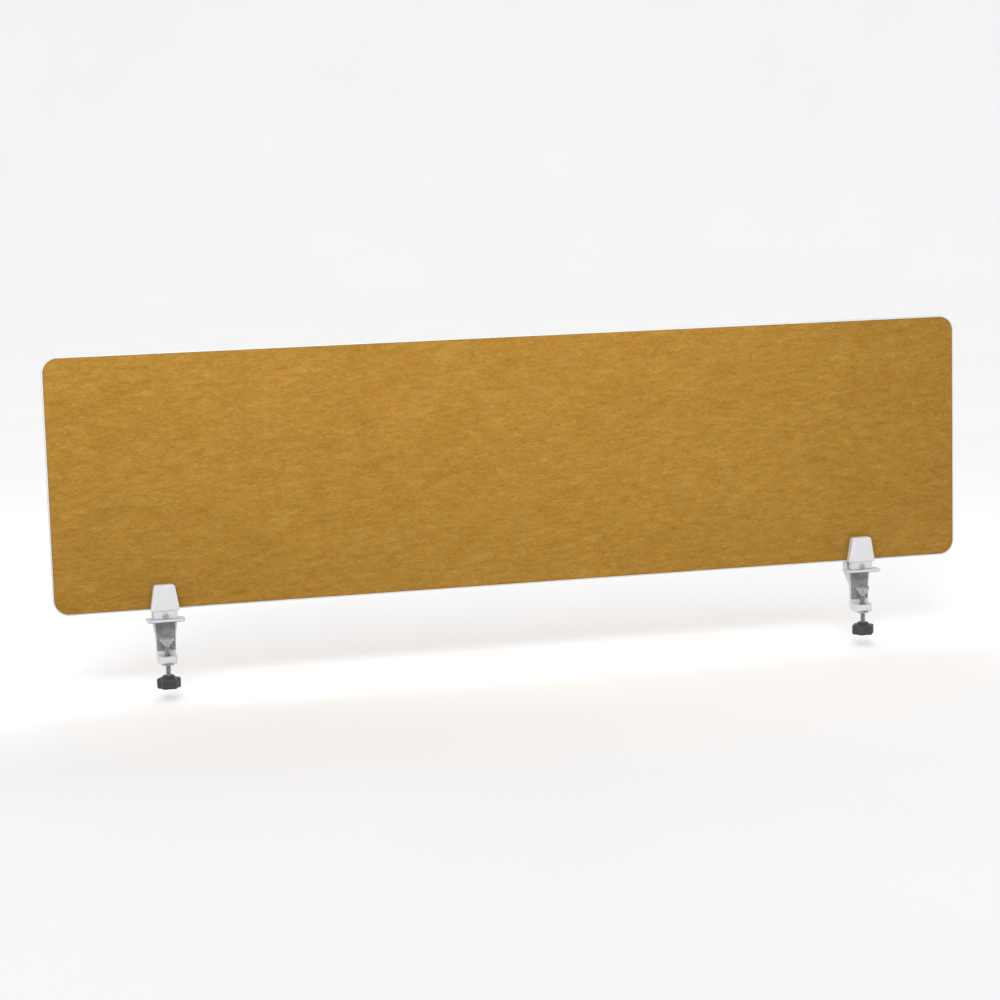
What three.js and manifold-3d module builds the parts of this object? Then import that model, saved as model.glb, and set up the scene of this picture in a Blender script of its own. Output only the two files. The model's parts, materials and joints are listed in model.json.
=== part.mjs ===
// Desk privacy panel: a felt-faced screen that two screw clamps hold along the rear edge of a desk.
// Millimetres, +X along the panel, +Y away from the person at the desk, +Z up.
// The origin is on the rear top edge of the desk, midway between the two clamps.

import * as THREE from 'three';
import { mergeVertices } from 'three/addons/utils/BufferGeometryUtils.js';
import Module from 'manifold-3d';

const wasm = await Module();
wasm.setup();

// Clearances
const FIT = 0.3; // between pieces that slide, turn or are cut to fit each other
const CONTACT = 0.1; // between a rubber pad and what it grips
const PAST = 1; // a cutting or trimming shape reaches this far past what it cuts

// Panel: a board with a felt skin on each side and a T-shaped edge trim round it
const PANEL_LENGTH = 1490;
const PANEL_HEIGHT = 400;
const PANEL_CORNER = 25;
const PANEL_BOTTOM = 16; // clear gap between the desk top and the panel
const PANEL_FRONT = 3; // the front felt face lies this far behind the desk's rear edge
const FELT_THICKNESS = 1.3;
const CORE_THICKNESS = 7.4;
const TRIM_BAND = 2.2; // width of the trim seen round the felt
const TRIM_PROUD = 0.3; // the trim stands this much above the felt
const TRIM_ROUNDING = 0.8;
const TONGUE_DEPTH = 6;
const TONGUE_THICKNESS = 1.6;

// Clamps
const CLAMP_OFFSET = 575; // from the middle of the panel to the middle of each clamp
const DESK_GRIPPED = 25; // desk thickness that the clamps hold as drawn

// Jaws: the tapered plates on both sides of the panel, each on a narrower block
const JAW_TOP = 57;
const JAW_BOTTOM = 16.2;
const JAW_TOP_WIDTH = 32;
const JAW_BOTTOM_WIDTH = 46;
const JAW_TOP_CORNER = 5;
const JAW_BOTTOM_CORNER = 1.5;
const JAW_ROUNDING = 1.2;
const FRONT_JAW_DEPTH = 12.8;
const REAR_JAW_DEPTH = 12;
const JAW_PAD_THICKNESS = 3;
const JAW_PAD_INSET = 2.5;
const JAW_PAD_BOTTOM = 20;
const BLOCK_WIDTH = 37;
const BLOCK_OVERLAP = 4; // a block runs this far up into the jaw above it
const BLOCK_SETBACK = 1.5; // the front block's face lies behind the jaw's face
const LEDGE_TOP = 15.7; // the rear block reaches under the panel as a ledge
const LEDGE_FRONT = 10;
const LEDGE_CORNER = 1;

// Screw that draws the front jaw towards the rear one
const JAW_SCREW_HEIGHT = 8.2;
const JAW_SCREW_RADIUS = 2.5;
const JAW_SCREW_END = 24;
const JAW_SCREW_HEAD_RADIUS = 4.25;
const JAW_SCREW_HEAD_HEIGHT = 2.8;
const JAW_SCREW_SOCKET_RADIUS = 1.75;
const JAW_SCREW_SOCKET_DEPTH = 1.7;

// Bracket: flange on the desk, leg behind it and arm below it
const FLANGE_WIDTH = 60;
const FLANGE_FRONT = -24;
const FLANGE_REAR = 7;
const FLANGE_CORNER = 6;
const FLANGE_TOP = 3.5;
const FLANGE_ROUNDING = 0.6;
const FLANGE_FILLET = 1.5; // where the ledge block stands on the flange
const SEAT_PAD_THICKNESS = 1;
const SEAT_PAD_INSET = 1.5;
const EDGE_PAD_THICKNESS = 1;
const EDGE_PAD_WIDTH = 30;
const EDGE_PAD_TOP = -2;
const EDGE_PAD_BOTTOM = -48;
const EDGE_PAD_CORNER = 2;
const LEG_REAR = 8;
const LEG_WIDTH = 30;
const LEG_INNER_FILLET = 5; // between the leg and the top of the arm
const LEG_OUTER_CORNER = 9; // behind the leg, at the bottom of the arm
const LEG_TAPER_HEIGHT = 12; // the leg reaches its narrow width this far below the gusset
const LEG_TAPER_FILLET = 20;
const ARM_TOP = -54;
const ARM_BOTTOM = -66;
const ARM_NOSE = 4; // slope under the arm's tip
const ARM_TIP_CORNER = 1.5;
const ARM_NOSE_CORNER = 3;
const ARM_NOSE_FILLET = 5;
const GUSSET_TOP = -3;
const GUSSET_BOTTOM = -24;
const GUSSET_CORNER = 4;
const GUSSET_FILLET = 12;
const POCKET_WIDTH = 18;
const POCKET_DEPTH = 3;
const POCKET_TOP = -26;
const POCKET_BOTTOM = -50;
const POCKET_CORNER = 3;

// Clamp screw, its bush in the arm, its swivelling foot and its knob
const CLAMP_SCREW_Y = -13.5;
const CLAMP_SCREW_RADIUS = 4;
const CLAMP_SCREW_TIP_CHAMFER = 1;
const BUSH_RADIUS = 7;
const BUSH_FLANGE_RADIUS = 10;
const BUSH_FLANGE_THICKNESS = 2.5;
const FOOT_RADIUS = 11;
const FOOT_CHAMFER = 1;
const FOOT_PAD_THICKNESS = 1.5;
const FOOT_PAD_CHAMFER = 0.4;
const FOOT_DISC_THICKNESS = 4.5;
const FOOT_BOSS_RADIUS = 7.5;
const FOOT_BOSS_HEIGHT = 4.5;
const FOOT_ROOF = 3.1; // metal left above the socket that the screw's tip turns in
const CLIP_THICKNESS = 0.8;
const CLIP_RADIUS = 6.5;
const CLIP_GROOVE_RADIUS = 3.1;
const CLIP_MOUTH = Math.PI / 3;
const KNOB_TOP = -84.5;
const KNOB_HUB_RADIUS = 9;
const KNOB_HUB_HEIGHT = 4;
const KNOB_GRIP_HEIGHT = 16;
const KNOB_WEB = 2; // plastic left between the screw's end and the cap
const KNOB_RADIUS = 17;
const KNOB_LOBES = 6;
const KNOB_LOBE_DEPTH = 1.5;
const KNOB_ROUNDING = 2;
const KNOB_CAP_RADIUS = 6;
const KNOB_CAP_THICKNESS = 1.5;
const KNOB_CAP_CROWN = 0.8;
const KNOB_CAP_CROWN_HALFWAY = 0.6; // height of the crown halfway out

// Fineness of round outlines
const ARC_STEPS = 3;
const CIRCLE_SIDES = 24;
const LOBE_STEPS = 8;
const ROUNDING_STEPS = 2;

const paintedWhite = { color: '#e6e6e9', roughness: 0.42, metalness: 0 };
const trimWhite = { color: '#e9e8e8', roughness: 0.5, metalness: 0 };
const mustardFelt = { color: '#b08539', roughness: 0.95, metalness: 0 };
const boardBrown = { color: '#b89b74', roughness: 0.85, metalness: 0 };
const zincSteel = { color: '#bfc1c4', roughness: 0.35, metalness: 1 };
const greyRubber = { color: '#868688', roughness: 0.9, metalness: 0 };
const darkPlastic = { color: '#303133', roughness: 0.55, metalness: 0 };

// ---- Outlines and solids ----

// A closed outline through corners [x, y, radius], listed anticlockwise.
function roundedOutline(corners) {
  const shape = new THREE.Shape();
  corners.forEach(([x, y, radius], index) => {
    const corner = new THREE.Vector2(x, y);
    const [beforeX, beforeY] = corners.at(index - 1);
    const [afterX, afterY] = corners[(index + 1) % corners.length];
    const before = new THREE.Vector2(beforeX, beforeY).sub(corner).normalize();
    const after = new THREE.Vector2(afterX, afterY).sub(corner).normalize();
    const halfAngle = Math.acos(before.dot(after)) / 2;
    const reach = radius / Math.tan(halfAngle);
    const start = corner.clone().addScaledVector(before, reach);
    if (index === 0) shape.moveTo(start.x, start.y);
    else shape.lineTo(start.x, start.y);
    if (radius === 0) return;
    const end = corner.clone().addScaledVector(after, reach);
    const inward = before.clone().add(after).normalize();
    const centre = corner.clone().addScaledVector(inward, radius / Math.sin(halfAngle));
    const startAngle = start.sub(centre).angle();
    const endAngle = end.sub(centre).angle();
    const turnsRight = before.cross(after) > 0;
    shape.absarc(centre.x, centre.y, radius, startAngle, endAngle, turnsRight);
  });
  shape.closePath();
  return shape;
}

function roundedRectangle(left, bottom, right, top, radius) {
  return roundedOutline([
    [left, bottom, radius],
    [right, bottom, radius],
    [right, top, radius],
    [left, top, radius],
  ]);
}

// An outline pushed out along +Z from 0 to depth, its edges rounded if asked.
function prism(shape, depth, rounding = 0, curveSegments = ARC_STEPS) {
  const geometry = new THREE.ExtrudeGeometry(shape, {
    depth: depth - 2 * rounding,
    curveSegments,
    bevelEnabled: rounding > 0,
    bevelThickness: rounding,
    bevelSize: rounding,
    bevelOffset: -rounding,
    bevelSegments: ROUNDING_STEPS,
  });
  return geometry.translate(0, 0, rounding);
}

// Prisms from an outline drawn in one plane, between two places on the third axis.
function alongZ(shape, bottom, top, rounding, curveSegments) {
  return prism(shape, top - bottom, rounding, curveSegments).translate(0, 0, bottom);
}

function alongY(shape, front, rear, rounding, curveSegments) {
  const geometry = prism(shape, rear - front, rounding, curveSegments);
  return geometry.rotateX(Math.PI / 2).translate(0, rear, 0);
}

function alongX(shape, left, right) {
  const yzToXyz = new THREE.Matrix4().makeBasis(
    new THREE.Vector3(0, 1, 0),
    new THREE.Vector3(0, 0, 1),
    new THREE.Vector3(1, 0, 0),
  );
  return prism(shape, right - left).applyMatrix4(yzToXyz).translate(left, 0, 0);
}

function rodAlongZ(radius, bottom, top) {
  const rod = new THREE.CylinderGeometry(radius, radius, top - bottom, CIRCLE_SIDES);
  return rod.rotateX(Math.PI / 2).translate(0, CLAMP_SCREW_Y, (bottom + top) / 2);
}

function rodAlongY(radius, front, rear) {
  const rod = new THREE.CylinderGeometry(radius, radius, rear - front, CIRCLE_SIDES);
  return rod.translate(0, (front + rear) / 2, JAW_SCREW_HEIGHT);
}

// A turned piece on the clamp screw's axis, from [radius, height] points that close on themselves.
function turned(profile) {
  const points = profile.map(([radius, height]) => new THREE.Vector2(radius, height));
  const lathe = new THREE.LatheGeometry(points, CIRCLE_SIDES);
  return lathe.rotateX(Math.PI / 2).translate(0, CLAMP_SCREW_Y, 0);
}

function solidOf(geometry) {
  const plain = geometry.clone();
  plain.deleteAttribute('normal');
  plain.deleteAttribute('uv');
  const merged = mergeVertices(plain);
  return new wasm.Manifold(new wasm.Mesh({
    numProp: 3,
    vertProperties: merged.attributes.position.array,
    triVerts: merged.index.array,
  }));
}

function geometryOf(solid) {
  const mesh = solid.getMesh();
  const geometry = new THREE.BufferGeometry();
  geometry.setAttribute('position', new THREE.BufferAttribute(mesh.vertProperties, 3));
  geometry.setIndex(new THREE.BufferAttribute(mesh.triVerts, 1));
  geometry.computeVertexNormals();
  return geometry;
}

function joined(...geometries) {
  return geometryOf(geometries.map(solidOf).reduce((all, next) => all.add(next)));
}

function cut(body, ...tools) {
  return geometryOf(tools.map(solidOf).reduce((rest, tool) => rest.subtract(tool), solidOf(body)));
}

function common(...geometries) {
  return geometryOf(geometries.map(solidOf).reduce((all, next) => all.intersect(next)));
}

function piece(name, geometry, finish) {
  const mesh = new THREE.Mesh(geometry, new THREE.MeshStandardMaterial(finish));
  mesh.name = name;
  return mesh;
}

// ---- Panel ----

const PANEL_REAR = PANEL_FRONT + 2 * FELT_THICKNESS + CORE_THICKNESS;
const PANEL_MIDDLE = (PANEL_FRONT + PANEL_REAR) / 2;
const CORE_FRONT = PANEL_FRONT + FELT_THICKNESS;

// The panel's outline, drawn in by the same amount all round.
function panelOutline(inset) {
  const half = PANEL_LENGTH / 2 - inset;
  const bottom = PANEL_BOTTOM + inset;
  const top = PANEL_BOTTOM + PANEL_HEIGHT - inset;
  return roundedRectangle(-half, bottom, half, top, PANEL_CORNER - inset);
}

function panelRing(outerInset, innerInset, front, rear, rounding) {
  const ring = panelOutline(outerInset);
  ring.holes.push(panelOutline(innerInset));
  return alongY(ring, front, rear, rounding);
}

function edgeTrim() {
  const band = panelRing(0, TRIM_BAND, PANEL_FRONT - TRIM_PROUD, PANEL_REAR + TRIM_PROUD, TRIM_ROUNDING);
  const half = TONGUE_THICKNESS / 2;
  const tongueStart = TRIM_BAND / 2; // inside the band, so the two join
  const tongue = panelRing(tongueStart, TRIM_BAND + TONGUE_DEPTH, PANEL_MIDDLE - half, PANEL_MIDDLE + half);
  return joined(band, tongue);
}

function panelCore() {
  const board = alongY(panelOutline(TRIM_BAND + FIT), CORE_FRONT, CORE_FRONT + CORE_THICKNESS);
  const half = TONGUE_THICKNESS / 2 + FIT;
  const grooveEnd = TRIM_BAND + TONGUE_DEPTH + FIT;
  return cut(board, panelRing(0, grooveEnd, PANEL_MIDDLE - half, PANEL_MIDDLE + half));
}

function feltSkin(front) {
  return alongY(panelOutline(TRIM_BAND + FIT), front, front + FELT_THICKNESS);
}

function buildPanel() {
  const panel = new THREE.Group();
  panel.add(piece('panel_core', panelCore(), boardBrown));
  panel.add(piece('front_felt', feltSkin(PANEL_FRONT), mustardFelt));
  panel.add(piece('rear_felt', feltSkin(PANEL_REAR - FELT_THICKNESS), mustardFelt));
  panel.add(piece('edge_trim', edgeTrim(), trimWhite));
  return panel;
}

// ---- Jaws ----

const FRONT_PAD_FRONT = PANEL_FRONT - CONTACT - JAW_PAD_THICKNESS;
const FRONT_JAW_REAR = FRONT_PAD_FRONT - CONTACT;
const FRONT_JAW_FRONT = FRONT_JAW_REAR - FRONT_JAW_DEPTH;
const FRONT_BLOCK_FRONT = FRONT_JAW_FRONT + BLOCK_SETBACK;
const REAR_PAD_FRONT = PANEL_REAR + CONTACT;
const REAR_JAW_FRONT = REAR_PAD_FRONT + JAW_PAD_THICKNESS + CONTACT;
const REAR_JAW_REAR = REAR_JAW_FRONT + REAR_JAW_DEPTH;

// The tapered jaw seen from the front, drawn in by an inset, with its lower edge at a given height.
function jawOutline(inset, bottom) {
  const taper = (JAW_BOTTOM_WIDTH - JAW_TOP_WIDTH) / (JAW_TOP - JAW_BOTTOM) / 2;
  const top = JAW_TOP - inset;
  const halfBottom = JAW_BOTTOM_WIDTH / 2 - taper * (bottom - JAW_BOTTOM) - inset;
  const halfTop = JAW_TOP_WIDTH / 2 + taper * inset - inset;
  const topCorner = JAW_TOP_CORNER - inset / 2;
  return roundedOutline([
    [-halfBottom, bottom, JAW_BOTTOM_CORNER],
    [halfBottom, bottom, JAW_BOTTOM_CORNER],
    [halfTop, top, topCorner],
    [-halfTop, top, topCorner],
  ]);
}

function blockOutline(bottom, top) {
  return roundedRectangle(-BLOCK_WIDTH / 2, bottom, BLOCK_WIDTH / 2, top, 0);
}

function frontJaw() {
  const plate = alongY(jawOutline(0, JAW_BOTTOM), FRONT_JAW_FRONT, FRONT_JAW_REAR, JAW_ROUNDING);
  const blockShape = blockOutline(FLANGE_TOP + FIT, JAW_BOTTOM + BLOCK_OVERLAP);
  const block = alongY(blockShape, FRONT_BLOCK_FRONT, FRONT_JAW_REAR);
  const bore = rodAlongY(JAW_SCREW_RADIUS + FIT, FRONT_JAW_FRONT - PAST, FRONT_JAW_REAR + PAST);
  return cut(joined(plate, block), bore);
}

function jawPad(front) {
  return alongY(jawOutline(JAW_PAD_INSET, JAW_PAD_BOTTOM), front, front + JAW_PAD_THICKNESS);
}

function jawScrew() {
  const headRear = FRONT_BLOCK_FRONT - FIT;
  const headFront = headRear - JAW_SCREW_HEAD_HEIGHT;
  const head = rodAlongY(JAW_SCREW_HEAD_RADIUS, headFront, headRear);
  const shank = rodAlongY(JAW_SCREW_RADIUS, headRear - PAST, JAW_SCREW_END);
  const hexagon = new THREE.CylinderGeometry(
    JAW_SCREW_SOCKET_RADIUS,
    JAW_SCREW_SOCKET_RADIUS,
    2 * JAW_SCREW_SOCKET_DEPTH,
    6,
  );
  hexagon.translate(0, headFront, JAW_SCREW_HEIGHT);
  return cut(joined(head, shank), hexagon);
}

// ---- Bracket ----

// The bracket seen from the side: ledge block at the top right, leg, and arm under the desk.
function spineOutline() {
  const inner = EDGE_PAD_THICKNESS;
  const armFront = CLAMP_SCREW_Y - LEG_WIDTH / 2;
  return roundedOutline([
    [inner, FLANGE_TOP, 0],
    [inner, ARM_TOP, LEG_INNER_FILLET],
    [armFront, ARM_TOP, ARM_TIP_CORNER],
    [armFront, ARM_BOTTOM + ARM_NOSE, ARM_NOSE_CORNER],
    [armFront + 2 * ARM_NOSE, ARM_BOTTOM, ARM_NOSE_FILLET],
    [LEG_REAR, ARM_BOTTOM, LEG_OUTER_CORNER],
    [LEG_REAR, GUSSET_BOTTOM, GUSSET_FILLET],
    [REAR_JAW_REAR, GUSSET_TOP, GUSSET_CORNER],
    [REAR_JAW_REAR, LEDGE_TOP, 0],
    [LEDGE_FRONT, LEDGE_TOP, LEDGE_CORNER],
    [LEDGE_FRONT, FLANGE_TOP, FLANGE_FILLET],
  ]);
}

// The bracket seen from behind: the leg narrows downwards.
function legTaperOutline() {
  const halfTop = BLOCK_WIDTH / 2;
  const halfBottom = LEG_WIDTH / 2;
  const taperEnd = GUSSET_BOTTOM - LEG_TAPER_HEIGHT;
  return roundedOutline([
    [-halfBottom, ARM_BOTTOM, 0],
    [halfBottom, ARM_BOTTOM, 0],
    [halfBottom, taperEnd, LEG_TAPER_FILLET],
    [halfTop, GUSSET_TOP, LEG_TAPER_FILLET],
    [halfTop, LEDGE_TOP, 0],
    [-halfTop, LEDGE_TOP, 0],
    [-halfTop, GUSSET_TOP, LEG_TAPER_FILLET],
    [-halfBottom, taperEnd, LEG_TAPER_FILLET],
  ]);
}

// The bracket seen from above: the arm ends in a half circle round the clamp screw.
function armEndOutline() {
  const half = BLOCK_WIDTH / 2 + PAST;
  const rear = REAR_JAW_REAR + PAST;
  const shape = new THREE.Shape();
  shape.moveTo(half, rear);
  shape.lineTo(-half, rear);
  shape.lineTo(-half, CLAMP_SCREW_Y);
  shape.lineTo(-LEG_WIDTH / 2, CLAMP_SCREW_Y);
  shape.absarc(0, CLAMP_SCREW_Y, LEG_WIDTH / 2, Math.PI, 2 * Math.PI, false);
  shape.lineTo(half, CLAMP_SCREW_Y);
  shape.closePath();
  return shape;
}

function bracket() {
  const halfBlock = BLOCK_WIDTH / 2;
  const sideView = alongX(spineOutline(), -halfBlock, halfBlock);
  const rearView = alongY(legTaperOutline(), CLAMP_SCREW_Y - LEG_WIDTH, REAR_JAW_REAR + PAST);
  const topView = alongZ(armEndOutline(), ARM_BOTTOM - PAST, LEDGE_TOP + PAST, 0, 2 * ARC_STEPS);
  const spine = common(sideView, rearView, topView);
  const flangeShape = roundedRectangle(
    -FLANGE_WIDTH / 2,
    FLANGE_FRONT,
    FLANGE_WIDTH / 2,
    FLANGE_REAR,
    FLANGE_CORNER,
  );
  const flange = alongZ(flangeShape, SEAT_PAD_THICKNESS, FLANGE_TOP, FLANGE_ROUNDING);
  const rearJaw = alongY(jawOutline(0, JAW_BOTTOM), REAR_JAW_FRONT, REAR_JAW_REAR, JAW_ROUNDING);
  const neckShape = blockOutline(LEDGE_TOP - PAST, JAW_BOTTOM + BLOCK_OVERLAP);
  const neck = alongY(neckShape, REAR_JAW_FRONT, REAR_JAW_REAR - JAW_ROUNDING);
  const body = joined(spine, flange, rearJaw, neck);
  const pocketHalf = POCKET_WIDTH / 2;
  const pocketShape = roundedRectangle(-pocketHalf, POCKET_BOTTOM, pocketHalf, POCKET_TOP, POCKET_CORNER);
  const pocket = alongY(pocketShape, LEG_REAR - POCKET_DEPTH, REAR_JAW_REAR);
  const jawBore = rodAlongY(JAW_SCREW_RADIUS + FIT, LEDGE_FRONT - PAST, REAR_JAW_REAR + PAST);
  const bushBore = rodAlongZ(BUSH_RADIUS + FIT, ARM_BOTTOM - PAST, ARM_TOP + PAST);
  return cut(body, pocket, jawBore, bushBore);
}

function seatPad() {
  const half = FLANGE_WIDTH / 2 - SEAT_PAD_INSET;
  const front = FLANGE_FRONT + SEAT_PAD_INSET;
  const shape = roundedRectangle(-half, front, half, -FIT, FLANGE_CORNER - SEAT_PAD_INSET);
  return alongZ(shape, 0, SEAT_PAD_THICKNESS);
}

function edgePad() {
  const half = EDGE_PAD_WIDTH / 2 - FIT;
  const shape = roundedRectangle(-half, EDGE_PAD_BOTTOM, half, EDGE_PAD_TOP, EDGE_PAD_CORNER);
  return alongY(shape, 0, EDGE_PAD_THICKNESS);
}

// ---- Clamp screw ----

const FOOT_TOP = -DESK_GRIPPED - FOOT_PAD_THICKNESS;
const FOOT_BOTTOM = FOOT_TOP - FOOT_DISC_THICKNESS - FOOT_BOSS_HEIGHT;
const KNOB_GRIP_TOP = KNOB_TOP - KNOB_HUB_HEIGHT;
const KNOB_BOTTOM = KNOB_GRIP_TOP - KNOB_GRIP_HEIGHT;
const SCREW_TIP = FOOT_TOP - FOOT_ROOF - FIT;
const SCREW_END = KNOB_BOTTOM + KNOB_CAP_THICKNESS + 2 * FIT + KNOB_WEB;
const CLIP_TOP = FOOT_BOTTOM - FIT;

function clampBush() {
  const bore = CLAMP_SCREW_RADIUS + FIT;
  const flangeBottom = ARM_BOTTOM - BUSH_FLANGE_THICKNESS;
  return turned([
    [bore, flangeBottom],
    [BUSH_FLANGE_RADIUS, flangeBottom],
    [BUSH_FLANGE_RADIUS, ARM_BOTTOM],
    [BUSH_RADIUS, ARM_BOTTOM],
    [BUSH_RADIUS, ARM_TOP],
    [bore, ARM_TOP],
    [bore, flangeBottom],
  ]);
}

function clampScrew() {
  const grooveTop = CLIP_TOP + FIT / 2;
  const grooveBottom = CLIP_TOP - CLIP_THICKNESS - FIT / 2;
  return turned([
    [0, SCREW_END],
    [CLAMP_SCREW_RADIUS, SCREW_END],
    [CLAMP_SCREW_RADIUS, grooveBottom],
    [CLIP_GROOVE_RADIUS, grooveBottom],
    [CLIP_GROOVE_RADIUS, grooveTop],
    [CLAMP_SCREW_RADIUS, grooveTop],
    [CLAMP_SCREW_RADIUS, SCREW_TIP - CLAMP_SCREW_TIP_CHAMFER],
    [CLAMP_SCREW_RADIUS - CLAMP_SCREW_TIP_CHAMFER, SCREW_TIP],
    [0, SCREW_TIP],
  ]);
}

// A spring clip: an open ring that snaps into the screw's groove under the foot.
function retainingClip() {
  const inner = CLIP_GROOVE_RADIUS + FIT / 2;
  const start = CLIP_MOUTH / 2;
  const end = 2 * Math.PI - start;
  const shape = new THREE.Shape();
  shape.absarc(0, CLAMP_SCREW_Y, CLIP_RADIUS, start, end, false);
  shape.absarc(0, CLAMP_SCREW_Y, inner, end, start, true);
  shape.closePath();
  return alongZ(shape, CLIP_TOP - CLIP_THICKNESS, CLIP_TOP, 0, 4 * ARC_STEPS);
}

function pressureFoot() {
  const socket = CLAMP_SCREW_RADIUS + FIT;
  const discBottom = FOOT_TOP - FOOT_DISC_THICKNESS;
  return turned([
    [0, FOOT_TOP - FOOT_ROOF],
    [socket, FOOT_TOP - FOOT_ROOF],
    [socket, FOOT_BOTTOM],
    [FOOT_BOSS_RADIUS, FOOT_BOTTOM],
    [FOOT_BOSS_RADIUS, discBottom],
    [FOOT_RADIUS - FOOT_CHAMFER, discBottom],
    [FOOT_RADIUS, discBottom + FOOT_CHAMFER],
    [FOOT_RADIUS, FOOT_TOP],
    [0, FOOT_TOP],
  ]);
}

function footPad() {
  const radius = FOOT_RADIUS - FIT;
  return turned([
    [0, FOOT_TOP],
    [radius, FOOT_TOP],
    [radius, -DESK_GRIPPED - FOOT_PAD_CHAMFER],
    [radius - FOOT_PAD_CHAMFER, -DESK_GRIPPED],
    [0, -DESK_GRIPPED],
  ]);
}

function knobOutline() {
  const shape = new THREE.Shape();
  const steps = KNOB_LOBES * LOBE_STEPS;
  for (let step = 0; step < steps; step++) {
    const angle = (2 * Math.PI * step) / steps;
    const radius = KNOB_RADIUS + KNOB_LOBE_DEPTH * Math.cos(KNOB_LOBES * angle);
    const x = radius * Math.cos(angle);
    const y = CLAMP_SCREW_Y + radius * Math.sin(angle);
    if (step === 0) shape.moveTo(x, y);
    else shape.lineTo(x, y);
  }
  shape.closePath();
  return shape;
}

function knob() {
  const grip = alongZ(knobOutline(), KNOB_BOTTOM, KNOB_GRIP_TOP, KNOB_ROUNDING);
  const hub = rodAlongZ(KNOB_HUB_RADIUS, KNOB_GRIP_TOP - PAST, KNOB_TOP);
  const screwHole = rodAlongZ(CLAMP_SCREW_RADIUS + FIT, SCREW_END - FIT, KNOB_TOP + PAST);
  const recessTop = KNOB_BOTTOM + KNOB_CAP_THICKNESS + FIT;
  const capHole = rodAlongZ(KNOB_CAP_RADIUS + FIT, KNOB_BOTTOM - PAST, recessTop);
  return cut(joined(grip, hub), screwHole, capHole);
}

// The plug in the knob's underside, slightly crowned.
function knobCap() {
  const top = KNOB_BOTTOM + KNOB_CAP_THICKNESS;
  return turned([
    [0, KNOB_BOTTOM - KNOB_CAP_CROWN],
    [KNOB_CAP_RADIUS / 2, KNOB_BOTTOM - KNOB_CAP_CROWN_HALFWAY],
    [KNOB_CAP_RADIUS, KNOB_BOTTOM],
    [KNOB_CAP_RADIUS, top],
    [0, top],
  ]);
}

// ---- Assembly ----

function buildClamp(side, x) {
  const clamp = new THREE.Group();
  clamp.add(piece(`${side}_bracket`, bracket(), paintedWhite));
  clamp.add(piece(`${side}_seat_pad`, seatPad(), greyRubber));
  clamp.add(piece(`${side}_edge_pad`, edgePad(), greyRubber));
  clamp.add(piece(`${side}_rear_jaw_pad`, jawPad(REAR_PAD_FRONT), greyRubber));
  clamp.add(piece(`${side}_front_jaw`, frontJaw(), paintedWhite));
  clamp.add(piece(`${side}_front_jaw_pad`, jawPad(FRONT_PAD_FRONT), greyRubber));
  clamp.add(piece(`${side}_jaw_screw`, jawScrew(), zincSteel));
  clamp.add(piece(`${side}_clamp_bush`, clampBush(), zincSteel));
  clamp.add(piece(`${side}_clamp_screw`, clampScrew(), zincSteel));
  clamp.add(piece(`${side}_retaining_clip`, retainingClip(), zincSteel));
  clamp.add(piece(`${side}_pressure_foot`, pressureFoot(), zincSteel));
  clamp.add(piece(`${side}_foot_pad`, footPad(), greyRubber));
  clamp.add(piece(`${side}_knob`, knob(), darkPlastic));
  clamp.add(piece(`${side}_knob_cap`, knobCap(), darkPlastic));
  clamp.position.x = x;
  return clamp;
}

const group = new THREE.Group();
group.add(buildPanel());
group.add(buildClamp('left', -CLAMP_OFFSET));
group.add(buildClamp('right', CLAMP_OFFSET));

export default group;
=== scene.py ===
"""Desk privacy panel: felt skins, edge trim and two screw clamps, modelled and finished.

Lengths in this file are millimetres until a piece is placed, when its mesh becomes metres.
X runs along the panel, Y away from the person at the desk and Z up.
Each clamp is modelled at X = 0 and then moved to its place along the panel.
"""

import json
import math

import bmesh
import bpy
from bpy.props import FloatProperty, FloatVectorProperty, IntProperty, PointerProperty
from mathutils import Matrix, Vector, noise


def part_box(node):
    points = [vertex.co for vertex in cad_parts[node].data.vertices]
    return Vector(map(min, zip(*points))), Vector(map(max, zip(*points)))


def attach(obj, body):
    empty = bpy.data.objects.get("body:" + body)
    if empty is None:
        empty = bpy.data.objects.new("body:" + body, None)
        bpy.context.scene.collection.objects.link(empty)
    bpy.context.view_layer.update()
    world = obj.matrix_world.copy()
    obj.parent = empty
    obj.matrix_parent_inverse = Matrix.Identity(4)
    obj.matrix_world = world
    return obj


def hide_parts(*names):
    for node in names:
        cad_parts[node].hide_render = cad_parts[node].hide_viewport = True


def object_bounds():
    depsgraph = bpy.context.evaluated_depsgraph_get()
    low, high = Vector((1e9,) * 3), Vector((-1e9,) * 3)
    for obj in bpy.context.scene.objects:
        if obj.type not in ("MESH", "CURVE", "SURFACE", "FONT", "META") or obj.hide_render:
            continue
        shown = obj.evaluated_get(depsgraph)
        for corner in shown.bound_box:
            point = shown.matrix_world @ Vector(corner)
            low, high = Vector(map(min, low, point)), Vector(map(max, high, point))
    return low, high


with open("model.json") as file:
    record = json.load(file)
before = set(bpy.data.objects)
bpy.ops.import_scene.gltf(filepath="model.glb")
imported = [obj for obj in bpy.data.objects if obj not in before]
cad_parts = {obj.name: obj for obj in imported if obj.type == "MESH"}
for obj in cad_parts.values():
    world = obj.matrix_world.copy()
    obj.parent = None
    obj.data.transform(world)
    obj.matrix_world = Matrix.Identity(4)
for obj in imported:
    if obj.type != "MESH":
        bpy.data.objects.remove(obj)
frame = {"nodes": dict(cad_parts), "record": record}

bl_info = {
    "name": "Desk Privacy Panel",
    "version": (1, 0, 0),
    "blender": (4, 5, 0),
    "location": "View3D > Sidebar > Desk Panel",
    "description": "Builds a felt desk privacy panel with its edge trim and screw clamps",
    "category": "Add Mesh",
}

CAD_BOX = [list(corner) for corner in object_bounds()]
RECORD_COLOURS = {entry["slot"]: entry["base_color"] for entry in frame["record"]["materials"]}

MM = 0.001
SHARP_ANGLE = 35
SIDES = ("left", "right")
ROOT_BODY = "panel_and_brackets"


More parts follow.
